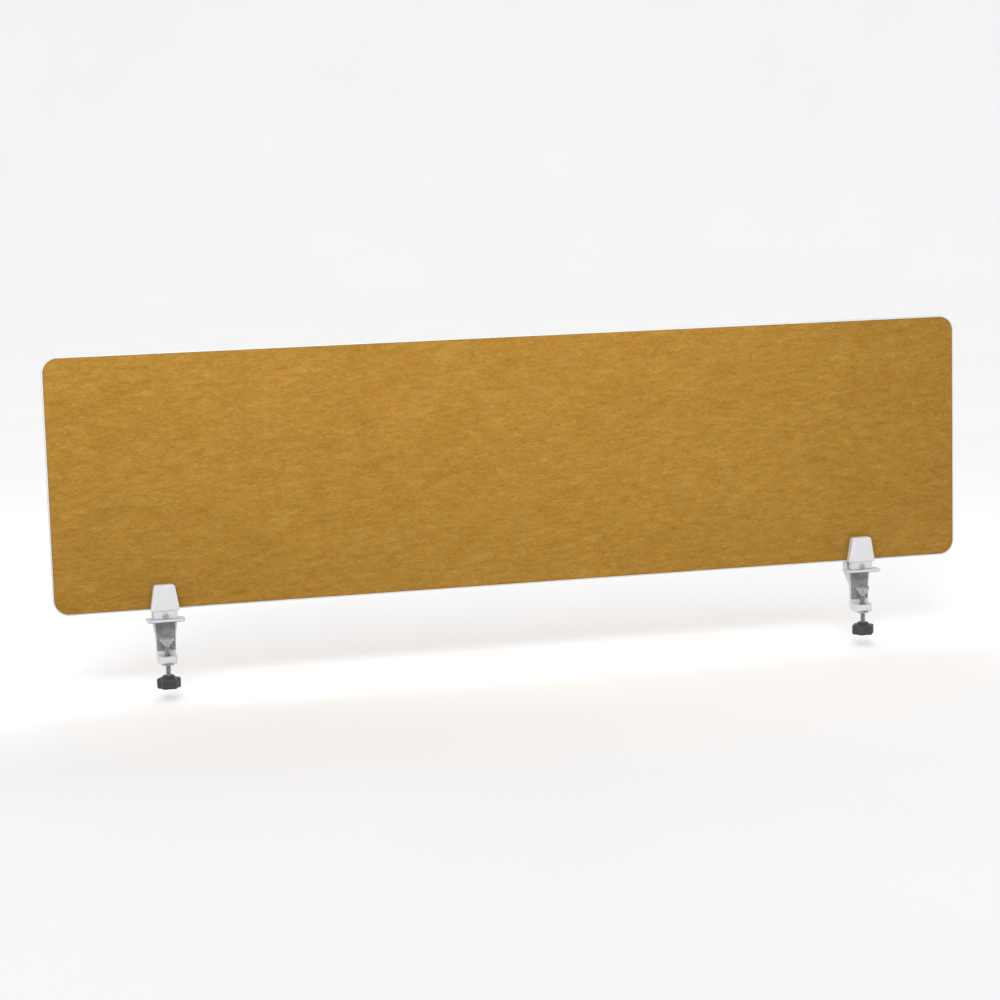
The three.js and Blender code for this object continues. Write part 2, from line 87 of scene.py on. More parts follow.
def box_mm(node):
    """The lowest and highest corners of a frame node, in millimetres."""
    low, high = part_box(node)
    return Vector(low) / MM, Vector(high) / MM


# Levels and edges of the panel and clamps, taken from the frame
TRIM_LOW, TRIM_HIGH = box_mm("edge_trim")
FELT_LOW, FELT_HIGH = box_mm("front_felt")
REAR_FELT_LOW, REAR_FELT_HIGH = box_mm("rear_felt")
JAW_LOW, JAW_HIGH = box_mm("left_front_jaw")
FRONT_PAD_LOW, FRONT_PAD_HIGH = box_mm("left_front_jaw_pad")
REAR_PAD_LOW, REAR_PAD_HIGH = box_mm("left_rear_jaw_pad")
BRACKET_HIGH = box_mm("left_bracket")[1]
SEAT_LOW, SEAT_HIGH = box_mm("left_seat_pad")
EDGE_PAD_LOW, EDGE_PAD_HIGH = box_mm("left_edge_pad")
BUSH_LOW, BUSH_HIGH = box_mm("left_clamp_bush")
SPINDLE_LOW, SPINDLE_HIGH = box_mm("left_clamp_screw")
CLIP_LOW, CLIP_HIGH = box_mm("left_retaining_clip")
FOOT_LOW, FOOT_HIGH = box_mm("left_pressure_foot")
FOOT_PAD_LOW, FOOT_PAD_HIGH = box_mm("left_foot_pad")
KNOB_LOW, KNOB_HIGH = box_mm("left_knob")
CAP_LOW, CAP_HIGH = box_mm("left_knob_cap")
JAW_SCREW_LOW, JAW_SCREW_HIGH = box_mm("left_jaw_screw")

FIT = 0.3
SPINDLE_Y = (SPINDLE_LOW.y + SPINDLE_HIGH.y) / 2
JAW_SCREW_Z = (JAW_SCREW_LOW.z + JAW_SCREW_HIGH.z) / 2

# Panel
PANEL_CORNER = 25
FELT_CORNER = PANEL_CORNER - (FELT_LOW.x - TRIM_LOW.x)
FELT_CORNER_ROWS = 14
FELT_CORNER_COLUMNS = 70  # length at each end in which the columns close up into the corners
FELT_ROLL_WIDTH = 2.4
TONGUE_DEPTH = 6
TONGUE_HALF = 0.8
TRIM_BARB = 0.2

# Jaws and their blocks
JAW_BOTTOM = 16.2
JAW_TOP_WIDTH = 32
JAW_TOP_CORNER = 5
JAW_BOTTOM_CORNER = 1.5
JAW_PAD_INSET = 2.5
BLOCK_HALF = 18.5
BLOCK_SETBACK = 1.5
LEDGE_TOP = 15.7
LEDGE_FRONT = 10

# Bracket
FLANGE_TOP = 3.5
FLANGE_REAR = 7
FLANGE_CORNER = 6
SEAT_INSET = 1.5
FLANGE_HALF = (SEAT_HIGH.x - SEAT_LOW.x) / 2 + SEAT_INSET
FLANGE_FRONT = SEAT_LOW.y - SEAT_INSET
LEG_REAR = 8
LEG_HALF = 15
ARM_TOP = -54
ARM_BOTTOM = -66
GUSSET_TOP = -3
GUSSET_BOTTOM = -24
LEG_TAPER_END = -36
POCKET_TOP = -26
POCKET_BOTTOM = -50
POCKET_HALF = 9
POCKET_DEPTH = 3

# Screws
SPINDLE_RADIUS = 4
SPINDLE_PITCH = 1.25
SPINDLE_THREAD = (-84, -39)
SPINDLE_CHAMFER = 1
CLIP_GROOVE_RADIUS = 3.1
JAW_SCREW_RADIUS = 2.5
JAW_SCREW_PITCH = 0.8
JAW_HEAD_DEPTH = 2.8
SOCKET_RADIUS = 1.75
SOCKET_DEPTH = 1.7
BUSH_RADIUS = 7
FOOT_BOSS_RADIUS = 7.5
FOOT_DISC_DEPTH = 4.5
FOOT_ROOF = 3.1
RING_GROOVES = (8.6, 5.4)
RING_GROOVE_DEPTH = 0.4
KNOB_HUB_RADIUS = 9
KNOB_HUB_HEIGHT = 4

# Room under the knobs for when the clamp screws are wound right down
FLOOR_DROP = 17

# Studio, in metres from the middle of the panel
FLAT_FLOOR_RADIUS = 9.0
COVE_RADIUS = 2.0
WALL_TOP = 3.5
KEY_PLACE = Vector((-0.55, -1.3, 0.95))
KEY_AIM = Vector((-0.25, 0, 0.3))
KEY_SPREAD = 55
BACK_PLACE = Vector((0.4, 1.6, 1.9))
BACK_SPREAD = 120
LIGHT_WIDTH = 2.0
LIGHT_HEIGHT = 0.5


# ---- Sizes and colours that can be changed ----


def colour_property(name, description, default):
    """A plain colour."""
    return FloatVectorProperty(
        name=name, description=description, default=default, subtype="COLOR", size=3, min=0, max=1
    )


def length_property(name, description, default, low, high):
    """A length in metres, given here in millimetres."""
    limits = {"default": default * MM, "min": low * MM, "max": high * MM}
    return FloatProperty(
        name=name, description=description, precision=5, subtype="DISTANCE", unit="LENGTH", **limits
    )


def angle_property(name, description, degrees):
    """An angle in radians, given here in degrees."""
    return FloatProperty(
        name=name, description=description, default=math.radians(degrees), subtype="ANGLE", unit="ROTATION"
    )


def number_property(name, description, default, low, high):
    """A plain number."""
    return FloatProperty(name=name, description=description, default=default, min=low, max=high)


class PanelSizes(bpy.types.PropertyGroup):
    """Sizes of the felt skins and the edge trim"""

    felt_relief: length_property("Felt relief", "Height of the matted streaks in the felt", 0.16, 0, 0.3)
    felt_cell: length_property("Felt cell", "Spacing of the points in the felt's mesh", 3, 2, 20)
    felt_roll: length_property("Felt roll", "How far the felt's rim turns back into the trim", 0.5, 0, 0.9)
    trim_crown: length_property("Trim crown", "How far the trim's face bulges outward", 0.3, 0, 0.6)
    trim_gap: length_property("Trim joint", "Gap where the trim's two ends meet below", 0.4, 0.1, 2)


class ClampSizes(bpy.types.PropertyGroup):
    """Sizes of the clamps' edges, grooves and grips"""

    casting_cell: length_property("Casting cell", "Size of the even faces on the castings", 0.55, 0.4, 1.5)
    edge_rounding: length_property("Edge rounding", "Rounding of the jaws' edges", 1.2, 0.5, 1.8)
    pad_groove: length_property("Pad groove", "Width of the grooves in the rubber pads", 1.0, 0.5, 2)
    knob_lobes: IntProperty(name="Knob lobes", description="Lobes round the knob", default=6, min=3, max=12)
    knob_lobe_depth: length_property("Knob lobe depth", "Rise and fall of the lobes", 1.5, 0.5, 2)


class Colours(bpy.types.PropertyGroup):
    """Colours of the finishes"""

    felt: colour_property("Felt", "Middle colour of the felt", RECORD_COLOURS["felt"])
    trim: colour_property("Trim", "Colour of the edge trim", RECORD_COLOURS["trim"])
    paint: colour_property("Powder coat", "Colour of the painted castings", RECORD_COLOURS["white_paint"])
    zinc: colour_property("Zinc", "Colour of the plated steel", RECORD_COLOURS["zinc"])
    rubber: colour_property("Rubber", "Colour of the pads", RECORD_COLOURS["rubber"])
    knob: colour_property("Knob plastic", "Colour of the knobs", RECORD_COLOURS["knob_plastic"])
    board: colour_property("Fibreboard", "Colour of the board inside", RECORD_COLOURS["fibreboard"])
    floor: colour_property("Floor", "Colour of the studio floor", (0.965, 0.965, 0.97))


class Studio(bpy.types.PropertyGroup):
    """Where the camera stands and how bright the lights are"""

    distance: length_property("Distance", "From the camera to the panel's middle", 4050, 1000, 20000)
    aim: length_property("Aim", "How far right of the panel's middle the camera looks", -35, -1000, 1000)
    turn: angle_property("Turn", "How far the camera stands to the left of the panel's middle", 13.67)
    height: angle_property("Height", "How steeply the camera looks down", 8.15)
    roll: angle_property("Roll", "How far the picture leans", 1.6)
    lens: number_property("Lens", "Focal length in millimetres", 91.5, 20, 300)
    key_power: number_property("Key light", "Watts", 4.6, 0, 2000)
    back_power: number_property("Back light", "Watts", 2.5, 0, 2000)
    sky: number_property("Room light", "Strength of the even light", 0.97, 0, 3)


# ---- Outlines ----


def rounded_outline(corners, steps=8):
    """Points of a closed outline through corners (x, y, radius), listed anticlockwise."""
    points = []
    for index, (x, y, radius) in enumerate(corners):
        corner = Vector((x, y))
        if radius == 0:
            points.append(corner)
            continue
        before = (Vector(corners[index - 1][:2]) - corner).normalized()
        after = (Vector(corners[(index + 1) % len(corners)][:2]) - corner).normalized()
        half = before.angle(after) / 2
        centre = corner + (before + after).normalized() * (radius / math.sin(half))
        reach = radius / math.tan(half)
        start = corner + before * reach - centre
        end = corner + after * reach - centre
        first = math.atan2(start.y, start.x)
        sweep = (math.atan2(end.y, end.x) - first + math.pi) % (2 * math.pi) - math.pi
        for step in range(steps + 1):
            angle = first + sweep * step / steps
            points.append(centre + radius * Vector((math.cos(angle), math.sin(angle))))
    return points


def rounded_rectangle(left, bottom, right, top, radius, steps=8):
    """Points of a rectangle with its corners rounded."""
    corners = [(left, bottom), (right, bottom), (right, top), (left, top)]
    return rounded_outline([(x, y, radius) for x, y in corners], steps)


def inward_offsets(outline):
    """For each point of an anticlockwise outline, the step that draws the outline in by one unit."""
    offsets = []
    for index, point in enumerate(outline):
        into = (point - outline[index - 1]).normalized()
        out = (outline[(index + 1) % len(outline)] - point).normalized()
        normal_in = Vector((-into.y, into.x))
        normal_out = Vector((-out.y, out.x))
        offsets.append((normal_in + normal_out) / (1 + normal_in.dot(normal_out)))
    return offsets


def jaw_outline(inset, bottom):
    """The tapered jaw seen from the front, drawn in by an inset, with its lower edge at a height."""
    bottom_half = JAW_HIGH.x - (JAW_LOW.x + JAW_HIGH.x) / 2
    taper = (bottom_half - JAW_TOP_WIDTH / 2) / (JAW_HIGH.z - JAW_BOTTOM)
    low_half = bottom_half - taper * (bottom - JAW_BOTTOM) - inset
    top_half = JAW_TOP_WIDTH / 2 + taper * inset - inset
    top = JAW_HIGH.z - inset
    top_corner = JAW_TOP_CORNER - inset / 2
    return rounded_outline([
        (-low_half, bottom, JAW_BOTTOM_CORNER),
        (low_half, bottom, JAW_BOTTOM_CORNER),
        (top_half, top, top_corner),
        (-top_half, top, top_corner),
    ])


# ---- Meshes, in millimetres ----

# How a flat outline's (x, y) and its height are turned to lie along each axis
ALONG_Z = Matrix.Identity(4)
ALONG_Y = Matrix(((1, 0, 0, 0), (0, 0, 1, 0), (0, 1, 0, 0), (0, 0, 0, 1)))
ALONG_X = Matrix(((0, 0, 1, 0), (1, 0, 0, 0), (0, 1, 0, 0), (0, 0, 0, 1)))
# Lays a piece made up the Z axis along Y without mirroring its thread
LAID_ALONG_Y = Matrix.Rotation(-math.pi / 2, 4, "X")


def mesh_from(build, turn=ALONG_Z):
    """A closed mesh from the bmesh that build has filled, its faces all pointing out."""
    build.transform(turn)
    bmesh.ops.remove_doubles(build, verts=build.verts, dist=0.0005)
    bmesh.ops.recalc_face_normals(build, faces=build.faces)
    mesh = bpy.data.meshes.new("shape")
    build.to_mesh(mesh)
    build.free()
    return mesh


def join_rings(build, rings, closed=True):
    """Faces between each ring of points and the next."""
    for lower, upper in zip(rings, rings[1:]):
        last = len(lower) if closed else len(lower) - 1
        for index in range(last):
            after = (index + 1) % len(lower)
            build.faces.new((lower[index], lower[after], upper[after], upper[index]))


def slab(outline, low, high, rounding=(0, 0), turn=ALONG_Z, steps=5):
    """An outline pushed out from low to high, with its low and high rims rounded."""
    offsets = inward_offsets(outline)
    levels = []
    for rim, (radius, place, way) in enumerate(((rounding[0], low, 1), (rounding[1], high, -1))):
        rim_levels = []
        for step in range(steps + 1 if radius else 1):
            angle = math.pi / 2 * step / steps if radius else math.pi / 2
            level = place + way * radius * (1 - math.cos(angle))
            rim_levels.append((radius * (1 - math.sin(angle)), level))
        levels += rim_levels if rim == 0 else rim_levels[::-1]
    build = bmesh.new()
    rings = []
    for inset, level in levels:
        places = [point + offset * inset for point, offset in zip(outline, offsets)]
        rings.append([build.verts.new((place.x, place.y, level)) for place in places])
    join_rings(build, rings)
    build.faces.new(rings[0][::-1])
    build.faces.new(rings[-1])
    return mesh_from(build, turn)


def add_turned(build, profile, sides):
    """A surface turned round the Z axis from (radius, height) points."""
    rings = []
    for radius, height in profile:
        ring = []
        for side in range(sides):
            angle = 2 * math.pi * side / sides
            ring.append(build.verts.new((radius * math.cos(angle), radius * math.sin(angle), height)))
        rings.append(ring)
    join_rings(build, rings)


def turned(profile, sides=64):
    """A closed turned piece round the Z axis, its profile closing on itself or ending on the axis."""
    build = bmesh.new()
    add_turned(build, profile, sides)
    return mesh_from(build)


def arc(centre_radius, centre_height, radius, start, end, steps=6):
    """Profile points round a quarter or other arc, with its angles in degrees."""
    points = []
    for step in range(steps + 1):
        angle = math.radians(start + (end - start) * step / steps)
        points.append((centre_radius + radius * math.cos(angle), centre_height + radius * math.sin(angle)))
    return points


def add_thread(build, radius, pitch, bottom, top, sides, rows=8):
    """A right-hand thread round the Z axis, its depth fading to nothing at both ends."""
    depth = 0.61 * pitch
    turns = (top - bottom) / pitch

    def point(row, side):
        height = bottom - pitch + pitch * (row / rows + side / sides)
        height = min(max(height, bottom), top)
        angle = 2 * math.pi * side / sides
        phase = ((height - bottom) / pitch - side / sides) % 1
        flank = min(abs(phase - 0.5) * 2.6, 1)
        fade = min(1, (height - bottom) / pitch, (top - height) / pitch)
        reach = radius - depth * (1 - flank) * fade
        return build.verts.new((reach * math.cos(angle), reach * math.sin(angle), height))

    last_row = math.ceil(rows * (turns + 1))
    rings = [[point(row, side) for side in range(sides + 1)] for row in range(last_row + 1)]
    join_rings(build, rings, False)


def shaped(base, tools, operation):
    """The base after each tool has been joined to it, cut from it or kept in common with it."""
    body = bpy.data.objects.new("base", base)
    bpy.context.collection.objects.link(body)
    helpers = []
    for tool in tools:
        helper = bpy.data.objects.new("tool", tool)
        bpy.context.collection.objects.link(helper)
        helpers.append(helper)
        modifier = body.modifiers.new("shape", "BOOLEAN")
        modifier.operation = operation
        modifier.solver = "EXACT"
        modifier.object = helper
    return modelled(body, helpers)


def cast(mesh, cell, rounds):
    """The mesh as a casting or moulding: one skin of even faces with every edge softened."""
    body = bpy.data.objects.new("casting", mesh)
    bpy.context.collection.objects.link(body)
    skin = body.modifiers.new("skin", "REMESH")
    skin.mode = "VOXEL"
    skin.voxel_size = cell
    soften = body.modifiers.new("soften", "SMOOTH")
    soften.factor = 0.5
    soften.iterations = rounds
    return modelled(body)


def modelled(body, helpers=()):
    """The mesh that an object's modifiers make, after which the object and its helpers are removed."""
    graph = bpy.context.evaluated_depsgraph_get()
    mesh = bpy.data.meshes.new_from_object(body.evaluated_get(graph))
    for item in (body, *helpers):
        bpy.data.objects.remove(item)
    if len(mesh.polygons) == 0:
        raise RuntimeError("a shape came out empty")
    return mesh


def bars(count, pitch, across, low, high, width):
    """Bars along X, spaced up the Y axis about its zero, for cutting grooves."""
    build = bmesh.new()
    for index in range(count):
        middle = (index - (count - 1) / 2) * pitch
        size = Matrix.Diagonal((2 * across, width, high - low, 1))
        place = Matrix.Translation((0, middle, (low + high) / 2))
        bmesh.ops.create_cube(build, size=1, matrix=place @ size)
    return build


# ---- Placing a piece ----


def place_piece(name, mesh, x, body, material, replaced):
    """Puts a finished mesh in the frame as a piece that rides on a body and stands for CAD nodes."""
    mesh.transform(Matrix.Scale(MM, 4))
    mesh.transform(Matrix.Translation((x * MM, 0, 0)))
    mesh.name = name
    mesh.materials.clear()
    mesh.materials.append(material)
    mesh.polygons.foreach_set("use_smooth", [True] * len(mesh.polygons))
    mesh.set_sharp_from_angle(angle=math.radians(SHARP_ANGLE))
    piece = bpy.data.objects.new(name, mesh)
    bpy.context.collection.objects.link(piece)
    weighted = piece.modifiers.new("even shading", "WEIGHTED_NORMAL")
    weighted.keep_sharp = True
    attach(piece, body)
    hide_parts(*replaced)
    return piece


def place_on_clamps(name, mesh, body, material):
    """Puts a copy of a clamp's piece on each clamp, in place of the CAD node of the same name."""
    for side in SIDES:
        low, high = box_mm(f"{side}_clamp_screw")
        x = (low.x + high.x) / 2
        node = f"{side}_{name}"
        place_piece(f"{node}_piece", mesh.copy(), x, body.format(side=side), material, [node])


# ---- Finishes ----


class Finish:
    """A material of shader nodes under construction."""

    def __init__(self, name, **uniform):
        self.material = bpy.data.materials.new(name)
        self.material.use_nodes = True
        self.tree = self.material.node_tree
        self.shader = self.tree.nodes["Principled BSDF"]
        for socket, value in uniform.items():
            self.shader.inputs[socket.replace("_", " ")].default_value = value
        self.place = self.node("ShaderNodeTexCoord").outputs["Object"]

    def node(self, kind, inputs=None, **settings):
        made = self.tree.nodes.new(kind)
        for name, value in settings.items():
            setattr(made, name, value)
        for socket, value in (inputs or {}).items():
            self.feed(made.inputs[socket], value)
        return made

    def feed(self, socket, value):
        if isinstance(value, bpy.types.NodeSocket):
            self.tree.links.new(value, socket)
        else:
            socket.default_value = value

    def stretched(self, per_metre, tilt=0.0):
        """Coordinates scaled to so many cells a metre along X, Y and Z, tilted in the panel's plane."""
        mapping = self.node("ShaderNodeMapping", {"Vector": self.place, "Rotation": (0, tilt, 0)})
        scaled = self.node("ShaderNodeVectorMath", operation="MULTIPLY")
        self.feed(scaled.inputs[0], mapping.outputs[0])
        self.feed(scaled.inputs[1], per_metre)
        return scaled.outputs[0]

    def noise(self, per_metre, detail=3.0, roughness=0.5, distortion=0.0, tilt=0.0):
        if not hasattr(per_metre, "__len__"):
            per_metre = (per_metre,) * 3
        inputs = {
            "Vector": self.stretched(per_metre, tilt),
            "Scale": 1.0,
            "Detail": detail,
            "Roughness": roughness,
            "Distortion": distortion,
        }
        return self.node("ShaderNodeTexNoise", inputs).outputs["Fac"]

    def ramp(self, factor, *stops):
        """A colour or grey that follows the factor through (place, colour) stops."""
        made = self.node("ShaderNodeValToRGB", {"Fac": factor})
        elements = made.color_ramp.elements
        while len(elements) < len(stops):
            elements.new(0.5)
        for element, (place, value) in zip(elements, stops):
            grey = not hasattr(value, "__len__")
            element.position = place
            element.color = (value, value, value, 1) if grey else (*value, 1)
        return made.outputs["Color"]

    def mix(self, factor, first, second, mode="MIX"):
        made = self.node("ShaderNodeMix", data_type="RGBA", blend_type=mode)
        self.feed(made.inputs["Factor"], factor)
        for socket, value in ((made.inputs[6], first), (made.inputs[7], second)):
            self.feed(socket, (*value, 1) if isinstance(value, tuple) else value)
        return made.outputs[2]

    def maths(self, operation, first, second):
        made = self.node("ShaderNodeMath", operation=operation)
        self.feed(made.inputs[0], first)
        self.feed(made.inputs[1], second)
        return made.outputs[0]

    def bump(self, height, depth_mm, strength=1.0, under=None):
        inputs = {"Height": height, "Distance": depth_mm * MM, "Strength": strength}
        if under is not None:
            inputs["Normal"] = under
        return self.node("ShaderNodeBump", inputs).outputs["Normal"]

    def finished(self, colour, roughness, normal):
        self.feed(self.shader.inputs["Base Color"], colour)
        self.feed(self.shader.inputs["Roughness"], roughness)
        self.feed(self.shader.inputs["Normal"], normal)
        return self.material


def shade(colour, amount):
    """A colour made lighter or darker by a factor."""
    return tuple(min(1.0, channel * amount) for channel in colour)


def warmed(colour, red, green, blue):
    """A colour with each of its channels scaled."""
    return tuple(min(1.0, channel * part) for channel, part in zip(colour, (red, green, blue)))


# How deep the felt's dye is in each channel, and how far the other finishes are shaded
FELT_DEPTH = (0.675, 0.64, 0.50)
TRIM_SHADE = 0.72
PAINT_SHADE = 0.76
ZINC_SHADE = 0.8


def felt_finish(colour):
    """Matted felt: fibres in streaks along the panel, in several close shades."""
    base = warmed(colour, *FELT_DEPTH)
    felt = Finish("matted_felt", Sheen_Weight=0.25, Sheen_Roughness=0.45, Specular_IOR_Level=0.2)
    felt.shader.inputs["Sheen Tint"].default_value = (1.0, 0.8, 0.45, 1)
    streaks = felt.noise((34, 90, 130), 6, 0.66, 0.8, math.radians(5))
    cross = felt.noise((60, 100, 165), 5, 0.62, 1.3, math.radians(-14))
    fibres = felt.noise((230, 400, 1400), 4, 0.6, 0.9, math.radians(3))
    mottle = felt.noise((6, 6, 9), 3, 0.6, 0.5)
    hue = felt.noise((45, 90, 120), 4, 0.62, 1.0, math.radians(8))
    flecks = felt.noise((150, 300, 900), 3, 0.55, 0.8, math.radians(-6))
    matted = felt.maths("ADD", felt.maths("MULTIPLY", streaks, 0.6), felt.maths("MULTIPLY", cross, 0.4))
    tone = felt.ramp(
        matted,
        (0.30, warmed(base, 0.76, 0.67, 0.42)),
        (0.44, warmed(base, 0.94, 0.92, 0.82)),
        (0.54, warmed(base, 1.04, 1.06, 1.06)),
        (0.68, warmed(base, 1.24, 1.40, 1.90)),
    )
    warm = felt.ramp(mottle, (0.38, (1.02, 1.03, 1.06)), (0.5, (1.0, 1.0, 1.0)), (0.62, (0.98, 0.965, 0.90)))
    tone = felt.mix(1.0, tone, warm, "MULTIPLY")
    hues = felt.ramp(hue, (0.34, (1.03, 0.94, 0.74)), (0.5, (1.0, 1.0, 1.0)), (0.66, (0.98, 1.05, 1.45)))
    tone = felt.mix(0.9, tone, hues, "MULTIPLY")
    fibre_tone = felt.ramp(fibres, (0.35, 0.62), (0.5, 0.98), (0.66, 1.3))
    tone = felt.mix(0.5, tone, fibre_tone, "MULTIPLY")
    dark = felt.ramp(flecks, (0.28, 1.0), (0.42, 0.0))
    tone = felt.mix(dark, tone, felt.mix(0.55, tone, warmed(base, 0.55, 0.52, 0.5)))
    pale = felt.ramp(flecks, (0.57, 0.0), (0.70, 0.6))
    tone = felt.mix(pale, tone, warmed(base, 1.45, 1.65, 2.6))
    height = felt.maths("ADD", felt.maths("MULTIPLY", fibres, 0.6), felt.maths("MULTIPLY", matted, 0.8))
    roughness = felt.ramp(fibres, (0.3, 0.98), (0.7, 0.84))
    return felt.finished(tone, roughness, felt.bump(height, 0.5, 0.7))


def trim_finish(colour):
    """Smooth pale PVC with a faint drawn grain along its face."""
    base = shade(colour, TRIM_SHADE)
    trim = Finish("pale_trim_plastic", Specular_IOR_Level=0.45)
    cloud = trim.noise(30, 3, 0.5)
    grain = trim.noise((60, 900, 60), 3, 0.6)
    tone = trim.ramp(cloud, (0.35, shade(base, 0.96)), (0.65, shade(base, 1.03)))
    roughness = trim.ramp(grain, (0.3, 0.42), (0.7, 0.56))
    return trim.finished(tone, roughness, trim.bump(grain, 0.04, 0.35))


def powder_coat_finish(colour):
    """Fine satin powder coat with a slight orange-peel, painted shade in its hollows, and convex edges
    lightened in patches as rubbed wear and painted highlight.
    """
    base = shade(colour, PAINT_SHADE)
    coat = Finish("satin_powder_coat", Specular_IOR_Level=0.5, Coat_Weight=0.08, Coat_Roughness=0.35)
    peel = coat.noise(1100, 2, 0.5)
    texture = coat.noise(3200, 2, 0.5)
    cloud = coat.noise(55, 4, 0.55)
    edges = coat.node("ShaderNodeNewGeometry").outputs["Pointiness"]
    # Convex edges; patches of them are lightened below, partly as rubbed wear and partly as a painted
    # highlight
    convex_edges = coat.ramp(edges, (0.53, 0.0), (0.60, 1.0))
    wear_and_highlight = coat.maths("MULTIPLY", convex_edges, coat.ramp(cloud, (0.4, 0.2), (0.6, 1.0)))
    dull, bright = warmed(base, 0.955, 0.955, 0.965), warmed(base, 1.02, 1.02, 1.015)
    tone = coat.ramp(cloud, (0.3, dull), (0.7, bright))
    # Painted shade: the colour is darkened in the concave places where the casting's faces meet
    painted_hollow_shade = coat.ramp(edges, (0.40, 0.86), (0.48, 1.0))
    tone = coat.mix(1.0, tone, painted_hollow_shade, "MULTIPLY")
    tone = coat.mix(coat.maths("MULTIPLY", wear_and_highlight, 0.35), tone, shade(base, 1.12))
    roughness = coat.ramp(peel, (0.3, 0.37), (0.7, 0.50))
    small = coat.bump(texture, 0.03, 0.35)
    return coat.finished(tone, roughness, coat.bump(peel, 0.08, 0.4, small))


def zinc_finish(colour):
    """Bright zinc plate, faintly blue and straw in patches, with fine turning marks."""
    base = shade(colour, ZINC_SHADE)
    zinc = Finish("bright_zinc_plate", Metallic=1.0)
    patches = zinc.noise(160, 4, 0.6, 0.6)
    marks = zinc.noise((300, 2400, 4200), 2, 0.5)
    tone = zinc.ramp(
        patches,
        (0.3, warmed(base, 0.86, 0.90, 0.98)),
        (0.5, base),
        (0.7, warmed(base, 1.14, 1.10, 0.98)),
    )
    roughness = zinc.ramp(zinc.noise(420, 4, 0.6), (0.3, 0.24), (0.7, 0.42))
    return zinc.finished(tone, roughness, zinc.bump(marks, 0.03, 0.3))


def rubber_finish(colour):
    """Matte rubber with a fine bloom and a moulded skin."""
    base = tuple(colour)
    rubber = Finish("matte_grey_rubber", Specular_IOR_Level=0.3, Sheen_Weight=0.1, Sheen_Roughness=0.5)
    bloom = rubber.noise(90, 4, 0.6)
    skin = rubber.noise(2600, 3, 0.6)
    tone = rubber.ramp(bloom, (0.35, shade(base, 0.85)), (0.65, shade(base, 1.3)))
    roughness = rubber.ramp(bloom, (0.3, 0.78), (0.7, 0.94))
    return rubber.finished(tone, roughness, rubber.bump(skin, 0.06, 0.4))


def knob_finish(colour):
    """Dark moulded plastic with a leathery grain, its lobes polished and lightened with a painted sheen."""
    base = tuple(colour)
    plastic = Finish("moulded_knob_plastic", Specular_IOR_Level=0.5)
    cells = plastic.node("ShaderNodeTexVoronoi", {"Vector": plastic.stretched((1500,) * 3), "Scale": 1.0})
    grain = cells.outputs["Distance"]
    cloud = plastic.noise(120, 3, 0.5)
    edges = plastic.node("ShaderNodeNewGeometry").outputs["Pointiness"]
    polish_and_sheen = plastic.ramp(edges, (0.5, 0.0), (0.58, 1.0))
    tone = plastic.ramp(cloud, (0.35, shade(base, 0.85)), (0.65, shade(base, 1.25)))
    # Painted sheen: the colour of the convex lobes and edges is lightened; below they are also made less
    # rough, as polished by handling
    tone = plastic.mix(plastic.maths("MULTIPLY", polish_and_sheen, 0.4), tone, shade(base, 1.9))
    roughness = plastic.mix(polish_and_sheen, plastic.ramp(cloud, (0.3, 0.5), (0.7, 0.62)), (0.4, 0.4, 0.4))
    return plastic.finished(tone, roughness, plastic.bump(grain, 0.08, 0.35))


def board_finish(colour):
    """Raw fibreboard: pressed chips and fine dust in close browns."""
    base = tuple(colour)
    board = Finish("raw_fibreboard", Specular_IOR_Level=0.2)
    chips = board.noise((320, 700, 320), 5, 0.7, 0.8)
    dust = board.noise(2200, 2, 0.5)
    tone = board.ramp(chips, (0.3, shade(base, 0.72)), (0.5, base), (0.7, shade(base, 1.25)))
    roughness = board.ramp(dust, (0.3, 0.82), (0.7, 0.95))
    return board.finished(tone, roughness, board.bump(chips, 0.2, 0.6))


def floor_finish(colour):
    """A pale studio floor with the faintest unevenness."""
    base = tuple(colour)
    floor = Finish("pale_studio_floor", Specular_IOR_Level=0.2)
    cloud = floor.noise(1.5, 2, 0.5)
    tone = floor.ramp(cloud, (0.3, shade(base, 0.99)), (0.7, shade(base, 1.01)))
    return floor.finished(tone, floor.ramp(cloud, (0.3, 0.75), (0.7, 0.8)), floor.bump(cloud, 0.1, 0.1))


# ---- Panel pieces ----


def felt_rows(cell):
    """Heights of the felt's rows of points, closer together in the rounded corners, and half widths."""
    corner, half_length = FELT_CORNER, FELT_HIGH.x
    ends = []
    for step in range(FELT_CORNER_ROWS + 1):
        angle = math.pi / 2 * step / FELT_CORNER_ROWS
        ends.append((corner * (1 - math.cos(angle)), half_length - corner + corner * math.sin(angle)))
    low, high = FELT_LOW.z, FELT_HIGH.z
    plain = high - low - 2 * corner
    count = round(plain / cell)
    rows = [(low + rise, half) for rise, half in ends]
    rows += [(low + corner + plain * step / count, half_length) for step in range(1, count)]
    rows += [(high - rise, half) for rise, half in reversed(ends)]
    return rows


def felt_height(x, z, seed):
    """Rise and fall of the matted surface at a place, from about -1 to 1."""
    lean = z + 0.09 * x
    broad = noise.noise((x / 26, lean / 6, seed))
    streak = noise.noise((x / 11, lean / 2.6, seed + 7))
    tuft = noise.noise((x / 5, z / 3.6, seed + 13))
    return 0.5 * broad + 0.7 * streak + 0.4 * tuft


